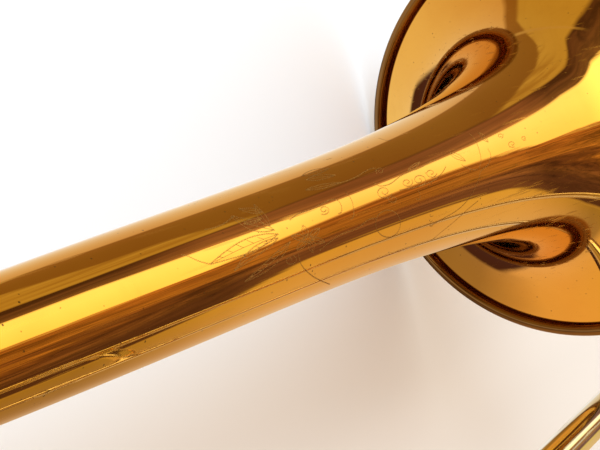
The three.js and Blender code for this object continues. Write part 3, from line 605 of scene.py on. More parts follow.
    ("w", [(206, 65.9), (204.5, 64.3), (202.4, 63), (200.3, 62.3), (198.3, 62.2), (196.7, 62.3), (195.7, 62.4)]),
    ("l", [(206, 65.9), (202.9, 64.8), (199.9, 63.8), (196.5, 62.7)]),
    ("w", [(228.7, 90.9), (225, 93.7), (222.1, 98.9), (220.7, 105.3), (221.1, 111.4), (223.3, 115.3), (227.2, 115.8), (231.7, 112.5), (235.4, 106.7), (236.8, 100.2), (235.7, 94.6), (232.7, 91.2), (228.8, 90.9)]),
    ("w", [(205.8, 84.4), (205.5, 89.1), (206.8, 92.8), (208.5, 90.3)]),
    ("l", [(197.1, 106), (197.6, 106.7), (198.4, 106.7), (199.2, 106.2), (199.7, 105.5), (199.6, 104.9), (199.4, 104.6), (199, 104.7), (198.8, 105)]),
    ("l", [(197.4, 110.3), (197.8, 111), (198.7, 111), (199.5, 110.5), (200, 109.7), (200, 109.1), (199.7, 108.9), (199.3, 109), (199.1, 109.3)]),
    ("l", [(197.4, 114.8), (197.8, 115.5), (198.5, 115.6), (199.4, 115), (199.9, 114.2), (200, 113.6), (199.8, 113.3), (199.4, 113.4), (199.1, 113.7)]),
    ("l", [(196.2, 119.9), (196.5, 120.7), (197.3, 120.7), (198.3, 120.1), (198.9, 119.3), (199, 118.6), (198.7, 118.3), (198.3, 118.5), (198.1, 118.7)]),
    ("w", [(153.8, 56.5), (154.3, 64.8), (155.7, 71.8), (157.6, 79.9), (161.2, 86.2)]),
    ("w", [(149.6, 73.8), (150, 79.8), (154.3, 85.6), (160.2, 88.3), (162.8, 93.1), (167.5, 101.2), (173.4, 109), (180.4, 114), (188.9, 116.8), (198.5, 119.8)]),
    ("w", [(164.1, 111.7), (171.1, 116), (178.7, 122.9), (185.8, 129.4), (193, 137.6)]),
    ("w", [(171.6, 78.1), (167.3, 83.6), (162.1, 86.6)]),
    ("w", [(146.9, 68.6), (146.3, 66.7), (146.2, 64.3), (146.5, 62.2), (147.1, 60.2), (147.8, 58.8), (148.2, 57.8)]),
    ("w", [(146.9, 68.6), (148.1, 67.4), (149.1, 65.5), (149.3, 63.3), (149, 61), (148.6, 59.1), (148.2, 57.8)]),
    ("l", [(146.9, 68.6), (147.5, 65.5), (147.9, 62.2), (148.2, 58.7)]),
    ("w", [(255.9, 30.3), (254.7, 33.2), (252.3, 35.2), (249.1, 35.6), (245.5, 35), (242.4, 34.1), (240.5, 33.5)]),
    ("w", [(255.9, 30.3), (252.4, 28.2), (248.7, 27.4), (245.7, 28.3), (243.2, 30.3), (241.6, 32.2), (240.5, 33.5)]),
    ("l", [(255.9, 30.3), (251.4, 31.3), (246.7, 32.3), (241.7, 33.2)]),
    ("l", [(252.9, 31), (253, 33.7)]),
    ("l", [(250.6, 31.4), (251, 34.9)]),
    ("l", [(248.3, 31.9), (248.6, 35.2)]),
    ("l", [(246, 32.4), (246.1, 35.2)]),
    ("l", [(243.7, 32.9), (243.2, 34.6)]),
    ("w", [(257.5, 37.3), (256.1, 40), (253.7, 42.3), (250.7, 43.5), (247.3, 44), (244.7, 44.1), (242.8, 44)]),
    ("w", [(257.5, 37.3), (254.5, 36.5), (251.1, 36.9), (248.3, 38.5), (245.8, 40.7), (244, 42.7), (242.8, 44)]),
    ("l", [(257.5, 37.3), (253.1, 39.3), (248.8, 41.4), (244, 43.5)]),
    ("w", [(263.1, 47.9), (260.8, 50), (257.3, 51.8), (253.5, 52.8), (249.4, 53.3), (246.3, 53.5), (244.1, 53.5)]),
    ("w", [(263.1, 47.9), (259.8, 47.4), (255.9, 47.9), (252.1, 49.1), (248.5, 50.9), (245.8, 52.4), (244.1, 53.5)]),
    ("l", [(263.1, 47.9), (257.6, 49.6), (251.9, 51.3), (245.6, 53)]),
    ("w", [(289.9, 53.3), (290.5, 50.4), (291.5, 47.3), (293, 45.2), (294.8, 43.6), (296.2, 42.5), (297.1, 41.8)]),
    ("w", [(289.9, 53.3), (291.8, 53.1), (293.7, 51.6), (295.1, 49.2), (296.2, 46.2), (296.8, 43.7), (297.1, 41.8)]),
    ("l", [(289.9, 53.3), (292.2, 50), (294.4, 46.6), (296.7, 42.8)]),
    ("w", [(301, 58), (299.9, 59.5), (298.3, 60.4), (296.6, 60.4), (294.6, 59.8), (293, 59.1), (292.1, 58.7)]),
    ("w", [(301, 58), (299.4, 56.8), (297.5, 56.1), (295.6, 56.3), (294, 57.1), (292.8, 58), (292.1, 58.7)]),
    ("l", [(301, 58), (298.3, 58.2), (295.7, 58.4), (292.8, 58.6)]),
    ("w", [(244.1, 53.5), (236.5, 53.7), (226, 51.2), (221.2, 52.3)]),
    ("w", [(223.4, 57.1), (222.8, 55), (221.4, 53.8), (220, 53.6), (219, 54.5), (218.9, 56), (219.3, 57.4), (220.3, 58.2), (221.1, 58.2), (221.6, 57.5), (221.7, 56.7), (221.4, 56), (220.9, 55.7), (220.5, 55.8)]),
    ("l", [(195.9, 17.4), (196.9, 26.5), (194.5, 29.2)]),
    ("l", [(234, 19.3), (230.5, 20)]),
    ("w", [(131.5, 79.9), (133.3, 79.4), (134.5, 78.2), (134.7, 76.7), (133.8, 75.6), (132.6, 75.3), (131.4, 75.7), (130.7, 76.6), (130.6, 77.5), (131.2, 78.1), (131.9, 78.2), (132.5, 77.9), (132.8, 77.5), (132.7, 77.1)]),
    ("w", [(136.8, 70), (135.5, 69.4), (135, 68.4), (135.2, 67.3), (136.1, 66.6), (137.1, 66.5), (137.8, 67), (138.2, 67.7), (138, 68.4), (137.4, 68.7), (136.9, 68.7), (136.6, 68.5), (136.5, 68.1), (136.6, 67.8)]),
    ("w", [(121.8, 78.1), (123, 77.8), (123.7, 77), (123.8, 76.1), (123.3, 75.4), (122.5, 75.2), (121.6, 75.5), (121.2, 76), (121.2, 76.5), (121.6, 76.9), (122, 77), (122.5, 76.8), (122.6, 76.5), (122.6, 76.3)]),
]


def engraving():
    q = bell_outside(2)
    dist, radius = RIM_X - q[:, 0], q[:, 1]

    def place(d, a, lift):
        r = np.interp(d, dist, radius)
        # the surface normal leans back by the flare's slope
        slope = (np.interp(d + 0.5, dist, radius) - np.interp(d - 0.5, dist, radius)) / 1.0
        n = math.hypot(1.0, slope)
        r = r + lift / n
        x = RIM_X - d + lift * slope / n
        return np.array([x, BY + r * math.cos(a), ZB + r * math.sin(a)])

    verts, faces = [], []

    def strip(pts, half):
        base = len(verts)
        m = len(pts)
        for i, (d, a) in enumerate(pts):
            j0, j1 = max(i - 1, 0), min(i + 1, m - 1)
            r = np.interp(d, dist, radius)
            slope = np.interp(d + 0.5, dist, radius) - np.interp(d - 0.5, dist, radius)
            stretch = math.hypot(1.0, slope)
            tx, ty = (pts[j1][0] - pts[j0][0]) * stretch, (pts[j1][1] - pts[j0][1]) * r
            n = math.hypot(tx, ty) or 1.0
            nx, ny = -ty / n, tx / n
            w = half if 0 < i < m - 1 else half * 0.35
            for sgn in (1, -1):
                verts.append(place(d + sgn * nx * w / stretch, a + sgn * ny * w / r, 0.022))
        for i in range(m - 1):
            faces.append((base + 2 * i, base + 2 * i + 1, base + 2 * i + 3, base + 2 * i + 2))

    for kind, pts in ENGRAVING:
        P = [np.array([d, math.radians(a)]) for d, a in pts]
        N = len(P)
        fine = []
        for i in range(N - 1):
            p0 = P[i - 1] if i else 2 * P[0] - P[1]
            p3 = P[i + 2] if i + 2 < N else 2 * P[-1] - P[-2]
            p1, p2 = P[i], P[i + 1]
            for k in range(10):
                t = k / 10
                fine.append(0.5 * (2 * p1 + (p2 - p0) * t + (2 * p0 - 5 * p1 + 4 * p2 - p3) * t * t + (3 * p1 - p0 - 3 * p2 + p3) * t**3))
        fine.append(P[-1])
        fine = np.array(fine)
        r = np.interp(fine[:, 0], dist, radius)
        slope = np.interp(fine[:, 0] + 0.5, dist, radius) - np.interp(fine[:, 0] - 0.5, dist, radius)
        seg = np.hypot(np.diff(fine[:, 0]) * np.hypot(1, slope[:-1]), np.diff(fine[:, 1]) * r[:-1])
        s = np.concatenate([[0], np.cumsum(seg)])
        step = 0.40 if kind == "w" else 0.5
        count = max(2, int(s[-1] / step))
        at = np.linspace(0, s[-1], count + 1)
        d, a = np.interp(at, s, fine[:, 0]), np.interp(at, s, fine[:, 1])
        if kind == "l":
            strip(list(zip(d, a)), 0.075)
            continue
        for i in range(count):
            rr = np.interp(d[i], dist, radius)
            sl = np.interp(d[i] + 0.5, dist, radius) - np.interp(d[i] - 0.5, dist, radius)
            st = math.hypot(1.0, sl)
            tx, ty = (d[i + 1] - d[i]) * st, (a[i + 1] - a[i]) * rr
            n = math.hypot(tx, ty) or 1.0
            tx, ty = tx / n, ty / n
            lean = math.radians(50 if i % 2 else -50)
            ux, uy = tx * math.cos(lean) - ty * math.sin(lean), tx * math.sin(lean) + ty * math.cos(lean)
            h = 0.30
            strip([(d[i] + k * h * ux / st, a[i] + k * h * uy / rr) for k in (-1, -0.35, 0.35, 1)], 0.08)
    return verts, faces


V_, F_ = engraving()
mesh_object("bell_engraving", V_, F_, ENGRAVED, "bell_section", [], smooth=False)


# ------------------------------------------------------------------ bell section tubework
turned("tail_ferrule", [
    [-974, 13.25], [-965.4, 13.25], [-965.4, 13.95], [-956, 13.75], [-956, 14.2], [-957, 14.6], [-960.5, 14.6],
    [-961.2, 15.0], [-963.2, 15.0], [-963.9, 14.6], [-972.0, 14.6], [-974, 14.4],
], NICKEL_TURNED, "bell_section", ["bell_tail_ferrule"], BY, ZB, r=0.3)
turned("bell_receiver", [
    [-1030, 12.3], [-965.7, 12.3], [-965.7, 13.1], [-1022.5, 13.1], [-1023.3, 13.6], [-1024.6, 13.6], [-1025.2, 14.0],
    [-1029.2, 14.0], [-1030, 13.4],
], BRASS_PLAIN, "bell_section", ["tuning_receiver_bell"], BY, ZB, r=0.3)
turned("neck_receiver_tube", [
    [-1030, 8.6], [-944, 8.6], [-944, 9.4], [-1022.5, 9.4], [-1023.3, 9.9], [-1024.6, 9.9], [-1025.2, 10.3],
    [-1029.2, 10.3], [-1030, 9.7],
], BRASS_PLAIN, "bell_section", ["tuning_receiver_neck"], 0, ZB, r=0.3)
turned("neckpipe_tube", tube(-950, -903, 7.6, 8.3), BRASS_PLAIN, "bell_section", ["neckpipe"], 0, ZB)
turned("neckpipe_collar", [
    [-954, 9.55], [-943.6, 9.55], [-943.6, 8.45], [-936, 8.45], [-936, 8.9], [-936.8, 9.2], [-939, 9.3], [-940.2, 10.1], [-941.4, 10.5],
    [-950.6, 10.5], [-951, 10.9], [-952.8, 10.9], [-953.2, 10.5], [-954, 10.2],
], NICKEL_TURNED, "bell_section", ["neckpipe_ferrule"], 0, ZB, r=0.3)


def threaded_receiver():
    x0, x1, pitch = -876.6, -861.6, 1.05

    def radial(s, ang, r):
        out = np.full(len(ang), r)
        if x0 < s < x1 and r > 10.0:
            ph = ((s - x0) / pitch - ang / (2 * math.pi)) % 1.0
            tri = 1 - np.abs(2 * ph - 1)
            fade = min(1.0, (s - x0) / 1.2, (x1 - s) / 0.8)
            out = 10.25 + 0.72 * tri * max(0.0, fade)
        return out

    p = [[-912, 8.45], [-902.6, 8.45], [-902.6, 7.3], [-900, 7.2], [-900, 8.4], [-861.4, 9.2], [-861.4, 10.3], [-876.8, 10.3],
         [-880, 10.2], [-905.6, 10.2], [-906.4, 10.6], [-907, 11.2], [-911, 11.2], [-912, 10.7]]
    p = fillet(p, 0.25, 4)
    dense = []
    for a, b in zip(p, p[1:] + p[:1]):
        dense.append(a)
        if a[1] > 10.0 and b[1] > 10.0 and abs(a[0] - b[0]) > 10 and max(a[0], b[0]) > -870:
            m = 130
            dense += [[a[0] + (b[0] - a[0]) * k / m, a[1] + (b[1] - a[1]) * k / m] for k in range(1, m)]
    V, F = revolve(dense, 96, "X", (0, 0, ZB), True, radial)
    mesh_object("slide_receiver", V, F, NICKEL_TURNED, "bell_section", ["neck_receiver"], sharp=70)


threaded_receiver()


def knurl(x0, x1, depth, teeth, pitch):
    def radial(s, ang, r):
        out = np.full(len(ang), r)
        if x0 < s < x1:
            a = np.abs(np.sin(teeth / 2 * ang + math.pi * s / pitch))
            b = np.abs(np.sin(teeth / 2 * ang - math.pi * s / pitch))
            fade = max(0.0, min(1.0, (s - x0) / 0.7, (x1 - s) / 0.7))
            groove = np.maximum(0, 1 - a / 0.45) + np.maximum(0, 1 - b / 0.45)
            out = r - depth * np.minimum(groove, 1.0) * fade
        return out

    return radial


def lock_nut():
    kn = knurl(-874.2, -858.6, 0.42, 54, 2.9)

    def radial(s, ang, r):
        return kn(s, ang, r) if r > 13.2 else np.full(len(ang), r)

    p = [[-876, 11.5], [-857.9, 11.5], [-857.9, 9.6], [-851, 9.6], [-851, 11.2], [-852, 12.1], [-854.5, 12.5], [-856.6, 12.5], [-857.2, 13.4],
         [-858, 13.95], [-875, 13.95], [-876, 13.4]]
    p = fillet(p, 0.3, 4)
    dense = []
    for a, b in zip(p, p[1:] + p[:1]):
        dense.append(a)
        if a[1] > 13.8 and b[1] > 13.8 and abs(a[0] - b[0]) > 8:
            m = 56
            dense += [[a[0] + (b[0] - a[0]) * k / m, a[1]] for k in range(1, m)]
    V, F = revolve(dense, 324, "X", (0, 0, ZB), True, radial)
    mesh_object("lock_nut_knurled", V, F, NICKEL, "lock_nut", ["bell_lock_nut"], sharp=70)


lock_nut()


def flange(axis, c, r_tube, direction, x, other, tube_r, foot_r, reach=11.0, seg=64):
    """A brace foot saddled on a tube along X: a flared skirt, a bead and a socket."""
    prof = [
        [-0.35, foot_r - 1.2], [-0.35, foot_r], [0.55, foot_r], [0.95, foot_r - 0.35], [1.5, foot_r - 1.0], [2.6, tube_r + 1.9],
        [4.2, tube_r + 1.15], [6.2, tube_r + 0.8], [7.6, tube_r + 0.75], [7.9, tube_r + 1.35], [8.5, tube_r + 1.65], [9.1, tube_r + 1.35],
        [9.4, tube_r + 0.8], [reach, tube_r + 0.75], [reach, tube_r + 0.12], [5.0, tube_r + 0.12], [5.0, tube_r - 1.4], [1.2, tube_r - 1.4],
    ]
    p = fillet(prof, 0.28, 3)
    ang = np.linspace(0, 2 * math.pi, seg, endpoint=False)
    verts = []
    for h, rho in p:
        w = float(np.clip(1 - max(h, 0) / 5.0, 0, 1)) ** 1.5
        for a in ang:
            u, v = rho * math.cos(a), rho * math.sin(a)  # u along X, v across the tube
            drop = r_tube - math.sqrt(max(0.0, r_tube * r_tube - min(abs(v), r_tube * 0.985) ** 2))
            s = c + direction * (r_tube + h - w * drop)
            verts.append((x + u, s, other + v) if axis == "Y" else (x + u, other + v, s))
    m = len(p)
    faces = []
    for i in range(m):
        for j in range(seg):
            k = (j + 1) % seg
            faces.append((i * seg + j, i * seg + k, ((i + 1) % m) * seg + k, ((i + 1) % m) * seg + j))
    return verts, faces


def brace(prefix, names, axis, x, other, a, b, r0, r1, tube_r, foot_r, body):
    for nm, c, r, d in ((names[0], a, r0, 1), (names[1], b, r1, -1)):
        V, F = flange(axis, c, r, d, x, other, tube_r, foot_r)
        mesh_object(prefix + nm + "_foot", V, F, NICKEL_TURNED, body, [prefix + nm], sharp=45)
    p = fillet([[a + r0 + 5.3, tube_r - 0.8], [b - r1 - 5.3, tube_r - 0.8], [b - r1 - 5.3, tube_r], [a + r0 + 5.3, tube_r]], 0.15)
    at = (x, 0, other) if axis == "Y" else (x, other, 0)
    V, F = revolve(p, 64, axis, at)
    mesh_object(prefix + "rod", V, F, NICKEL, body, [prefix + "tube"])


brace("bell_brace_front_", ["flange_neck", "flange_bell"], "Y", -922, ZB, 0, BY, NECK_R, 15.5, 5.0, 7.6, "bell_section")
brace("bell_brace_rear_", ["flange_neck", "flange_bell"], "Y", -992, ZB, 0, BY, LEG_NECK_R + 0.9, LEG_BELL_R + 0.9, 4.0, 7.4, "bell_section")

# ------------------------------------------------------------------ tuning slide
turned("tuning_leg_bell_tube", tube(-1050, -970, LEG_BELL_R - 0.6, LEG_BELL_R), TUBE, "tuning_slide", ["tuning_leg_bell"], BY, ZB)
turned("tuning_leg_neck_tube", tube(-1050, -970, LEG_NECK_R - 0.6, LEG_NECK_R), TUBE, "tuning_slide", ["tuning_leg_neck"], 0, ZB)
for nm, r, y in (("tuning_ferrule_bell", LEG_BELL_R, BY), ("tuning_ferrule_neck", LEG_NECK_R, 0)):
    turned(nm + "_ring", [
        [-1056, r + 0.15], [-1042, r + 0.15], [-1042, r + 1.3], [-1042.8, r + 1.75], [-1044.6, r + 1.75], [-1045.2, r + 1.35],
        [-1053.6, r + 1.35], [-1054.2, r + 1.65], [-1055.4, r + 1.65], [-1056, r + 1.2],
    ], NICKEL_TURNED, "tuning_slide", [nm], y, ZB, r=0.25)


def tuning_bow():
    R, n = BY / 2, 96
    st = []

    def rad(k):
        return LEG_NECK_R + (LEG_BELL_R - LEG_NECK_R) * k

    def add(c, t, k):
        st.append((c, t, rad(k), rad(k) - 0.6))

    for x in (-1050.4, -1053.5):
        add((x, 0, ZB), (-1, 0, 0), 0)
    for i in range(n + 1):
        a = math.pi * i / n
        add((TUNING_X - R * math.sin(a), R - R * math.cos(a), ZB), (-math.cos(a), math.sin(a), 0), i / n)
    for x in (-1053.5, -1050.4):
        add((x, BY, ZB), (1, 0, 0), 1)
    V, F = swept(st, (0, 0, 1), 72)
    mesh_object("tuning_bow_tube", V, F, BRASS_PLAIN, "tuning_slide", ["tuning_bow"])


tuning_bow()
brace("tuning_brace_", ["flange_neck", "flange_bell"], "Y", TUNING_X + 7, ZB, 0, BY, LEG_NECK_R + 1.6, LEG_BELL_R + 1.6, 3.4, 5.2, "tuning_slide")

# ------------------------------------------------------------------ inner slide
turned("tenon", [
    [-899, 6.1], [-848.4, 6.1], [-848.4, 9.0], [-858.4, 9.0], [-858.4, 11.0], [-861.0, 11.0], [-861.0, 8.9], [-899, 8.1],
], NICKEL_TURNED, "inner_slide", ["slide_tenon"], 0, ZB, r=0.3)
turned("cork_barrel_lower", [
    [-848, 6.8], [-797, 6.8], [-797, 8.4], [-770, 8.4], [-770, 9.4], [-770.6, 9.8], [-771.4, 9.8], [-772, 9.2], [-788, 9.2],
    [-788.3, 10.3], [-793.7, 10.3], [-794, 9.2], [-842.5, 9.2], [-843, 9.7], [-845.2, 9.7], [-845.7, 9.2], [-848, 8.9],
], NICKEL, "inner_slide", ["cork_barrel_bell"], 0, ZB, r=0.25)
turned("cork_barrel_upper", [
    [-848, 6.8], [-797, 6.8], [-797, 8.4], [-770, 8.4], [-770, 9.6], [-770.7, 10.0], [-775.4, 10.0], [-776.6, 9.2],
    [-842.5, 9.2], [-843, 9.7], [-845.2, 9.7], [-845.7, 9.2], [-848, 8.9],
], NICKEL, "inner_slide", ["cork_barrel_mouthpiece"], 0, ZM, r=0.25)
for side, z in (("bell", ZB), ("mouthpiece", ZM)):
    turned("inner_tube_" + side + "_chromed", [
        [-846, 6.1], [-92, 6.1], [-92, 6.95], [-202, 6.95], [-206, 6.65], [-846, 6.65],
    ], TUBE, "inner_slide", ["inner_tube_" + side], 0, z, r=0.2)
    turned("barrel_cork_ring_" + side, tube(-796.7, -785, 6.85, 8.2), CORK, "inner_slide", ["barrel_cork_" + side], 0, z, r=0.3)
brace("inner_brace_", ["flange_bell", "flange_mouthpiece"], "Z", -826, 0, ZB, ZM, 9.2, 9.2, 6.0, 8.0, "inner_slide")
turned("leadpipe_tube", [
    [-862, 5.9], [-850, 5.62], [-835, 5.34], [-820, 5.2], [-790, 5.24], [-740, 5.42], [-700, 5.6], [-660, 5.75], [-660, 6.0], [-862, 6.0],
], BRASS_PLAIN, "inner_slide", ["leadpipe"], 0, ZM, r=0.08)
turned("mouthpiece_socket", [
    [-896, 6.85], [-866, 6.4], [-863, 6.15], [-848.5, 6.15], [-848.5, 8.2], [-860, 8.3], [-860.6, 8.8], [-862.6, 8.8], [-863.2, 8.32],
    [-885.2, 8.4], [-886.2, 8.9], [-887, 9.6], [-895.2, 9.6], [-896, 8.8],
], NICKEL_TURNED, "inner_slide", ["mouthpiece_receiver"], 0, ZM, r=0.3)


def slide_lock():
    kn = knurl(-786.4, -774.2, 0.35, 46, 2.6)

    def radial(s, ang, r):
        return kn(s, ang, r) if r > 11.5 else np.full(len(ang), r)

    p = [[-787.6, 9.5], [-772.4, 9.5], [-772.4, 10.15], [-767, 10.15], [-767, 11.1], [-767.8, 11.5], [-772.4, 11.5], [-773.2, 11.8],
         [-787, 11.8], [-787.6, 11.3]]
    p = fillet(p, 0.25, 4)
    dense = []
    for a, b in zip(p, p[1:] + p[:1]):
        dense.append(a)
        if a[1] > 11.6 and b[1] > 11.6 and abs(a[0] - b[0]) > 8:
            m = 46
            dense += [[a[0] + (b[0] - a[0]) * k / m, a[1]] for k in range(1, m)]
    ring = revolve(dense, 276, "X", (0, 0, ZB), True, radial)

    def plate(x0, x1, a0, a1, r0, r1, n=16):
        rings = []
        corner = fillet([[r0, x0], [r1, x0], [r1, x1], [r0, x1]], 0.35, 4)
        for i in range(n + 1):
            a = math.radians(a0 + (a1 - a0) * i / n)
            rings.append([(x, r * math.cos(a), ZB + r * math.sin(a)) for r, x in corner])
        return loft(rings)

    V, F = merged(ring, plate(-770.5, -752.5, 210, 220, 9.8, 11.35), plate(-756.4, -752.5, 193, 211, 9.8, 11.35))
    mesh_object("slide_lock_knurled", V, F, NICKEL, "lock_ring", ["slide_lock_ring"], sharp=60)


slide_lock()


# ------------------------------------------------------------------ mouthpiece
def mouthpiece():
    ctrl = [
        [-950.6, 12.9], [-952.6, 13.6], [-953.7, 14.9], [-954.0, 16.2], [-953.9, 17.7], [-953.1, 18.9], [-951.6, 19.35], [-949.6, 19.3],
        [-948.4, 18.6], [-947.4, 17.5], [-945.4, 16.85], [-940, 16.2], [-934, 15.1], [-930, 13.6], [-926, 11.6], [-922, 9.5], [-919, 8.3],
        [-917.6, 8.15], [-917.0, 8.7], [-915.6, 8.7], [-915.0, 7.95], [-911, 7.6], [-905, 7.35], [-901, 7.0], [-898.2, 6.6], [-897, 6.42], [-867.2, 5.95], [-867, 5.8],
        [-867, 5.1], [-868, 5.0], [-890, 4.35], [-905, 3.9], [-915, 3.5], [-922, 3.22], [-925.5, 3.2], [-928.5, 3.5], [-931, 4.3], [-933, 5.3], [-936.5, 7.7], [-941, 10.3],
        [-946.5, 11.9], [-949.6, 12.5],
    ]
    P = np.array(ctrl)
    out = []
    N = len(P)
    for i in range(N):
        p0, p1, p2, p3 = P[i - 1], P[i], P[(i + 1) % N], P[(i + 2) % N]
        long_ = np.linalg.norm(p2 - p1) > 12
        m = 1 if long_ else 5
        for k in range(m):
            t = k / m
            d0, d1, d2 = (max(np.linalg.norm(q - w), 1e-4) ** 0.5 for q, w in ((p1, p0), (p2, p1), (p3, p2)))
            m1 = (p2 - p1 + d1 * ((p1 - p0) / d0 - (p2 - p0) / (d0 + d1)))
            m2 = (p2 - p1 + d1 * ((p3 - p2) / d2 - (p3 - p1) / (d1 + d2)))
            out.append((2 * t**3 - 3 * t**2 + 1) * p1 + (t**3 - 2 * t**2 + t) * m1 + (-2 * t**3 + 3 * t**2) * p2 + (t**3 - t**2) * m2)
    V, F = revolve(out, 128, "X", (0, 0, ZM))
    mesh_object("mouthpiece_cup", V, F, SILVER, "mouthpiece", ["mouthpiece"], sharp=50)


mouthpiece()

# ------------------------------------------------------------------ hand slide
turned("outer_tube_lower", tube(-784, -82, OUTER_BORE, OUTER_R), TUBE, "hand_slide", ["outer_tube_bell"], 0, ZB, r=0.12)
turned("outer_tube_upper", tube(-784, -82, OUTER_BORE, OUTER_R), TUBE, "hand_slide", ["outer_tube_mouthpiece"], 0, ZM, r=0.12)
SLEEVE = [
    [-765, 7.7], [-712, 7.7], [-712, 8.1], [-714.5, 8.5], [-716, 8.8], [-721, 8.8], [-721.4, 9.15], [-723, 9.15], [-723.4, 8.8], [-755.5, 8.8],
    [-761, 8.8], [-761.4, 9.3], [-764.6, 9.3], [-765, 8.9],
]


def sleeves():
    body = revolve(fillet(SLEEVE, 0.25, 4), 96, "X", (0, 0, ZB))
    lug = bar([(-760.6, -9.8, ZB), (-760.2, -9.8, ZB), (-759, -9.8, ZB), (-757.6, -9.8, ZB), (-757.2, -9.8, ZB)], [2.0, 2.6, 2.7, 2.6, 2.0], [2.4, 2.8, 2.9, 2.8, 2.4], (0, 1, 0), 24, 4.0)
    V, F = merged(body, lug)
    mesh_object("top_sleeve_lower", V, F, NICKEL, "hand_slide", ["top_sleeve_bell"])
    turned("top_sleeve_upper", SLEEVE, NICKEL, "hand_slide", ["top_sleeve_mouthpiece"], 0, ZM)


sleeves()
brace("outer_brace_", ["flange_bell", "flange_mouthpiece"], "Z", -738, 0, ZB, ZM, 8.8, 8.8, 4.8, 7.6, "hand_slide")
for side, z in (("bell", ZB), ("mouthpiece", ZM)):
    turned("bow_ferrule_" + side + "_ring", [
        [-92, 7.75], [-72, 7.75], [-72, 8.1], [-73, 8.6], [-74.4, 8.9], [-88, 8.9], [-88.6, 9.4], [-91.4, 9.4], [-92, 9.0],
    ], NICKEL_TURNED, "hand_slide", ["bow_ferrule_" + side], 0, z, r=0.3)


def slide_bow():
    R, n = 43.0, 96
    st = [((-81.4, 0, ZB), (1, 0, 0), OUTER_R, OUTER_BORE), ((-75, 0, ZB), (1, 0, 0), OUTER_R, OUTER_BORE)]
    for i in range(n + 1):
        a = math.pi * i / n
        st.append(((-70 + R * math.sin(a), 0, -R * math.cos(a)), (math.cos(a), 0, math.sin(a)), OUTER_R, OUTER_BORE))
    st += [((-75, 0, ZM), (-1, 0, 0), OUTER_R, OUTER_BORE), ((-81.4, 0, ZM), (-1, 0, 0), OUTER_R, OUTER_BORE)]
    V, F = swept(st, (0, 1, 0), 72)
    mesh_object("slide_bow_tube", V, F, NICKEL, "hand_slide", ["slide_bow"])
    # guard strip over the bow's crest, dished to its section, with tapered ends
    rings = []
    m = 64
    for i in range(m + 1):
        f = i / m
        a = math.radians(40 + 100 * f)
        half = 4.5 * min(1.0, 0.35 + 0.65 * math.sin(min(f, 1 - f, 0.12) / 0.12 * math.pi / 2))
        sec = []
        for k in range(11):
            y = -half + 2 * half * k / 10
            sec.append((50.78 + (R * 0 + 1.15) * (1 - 0.10 * (y / 4.5) ** 2), y))
        for k in range(11):
            y = half - 2 * half * k / 10
            sec.append((50.72 - 0.35 * (y / 4.5) ** 2, y))
        rings.append([(-70 + rr * math.sin(a), y, -rr * math.cos(a)) for rr, y in sec])
    V, F = loft(rings)
    mesh_object("bow_guard_strip", V, F, NICKEL_TURNED, "hand_slide", ["bow_guard"], sharp=45)


slide_bow()


def bumper():
    p = [[-17.8, 0], [-17.8, 5.4], [-15.8, 5.6], [-14.2, 6.1], [-12.8, 7.2], [-11.6, 8.0], [-8.4, 8.0], [-7.8, 7.4], [-7.8, 6.1], [-11.5, 6.1], [-11.5, 0]]
    V, F = revolve(fillet(p, 0.3, 4, closed=False), 72, "X", (0, 0, 0), False)
    mesh_object("bumper_holder", V, F, NICKEL_TURNED, "hand_slide", ["bumper_cup"])
    p = [[-11.2, 0], [-11.2, 5.9], [-7.4, 5.9], [-7.4, 7.2], [-5, 7.15], [-3, 6.95], [-1.4, 6.5], [-0.4, 5.8], [0, 4.9], [0, 0]]
    V, F = revolve(fillet(p, 0.35, 4, closed=False), 72, "X", (0, 0, 0), False)
    mesh_object("bumper_tip", V, F, RUBBER, "hand_slide", ["bumper_rubber"])


bumper()

# ------------------------------------------------------------------ water key
KX, PX, PZ = -68.0, -84.0, ZB - 13.6
LIP = ZB - OUTER_R - 4.0


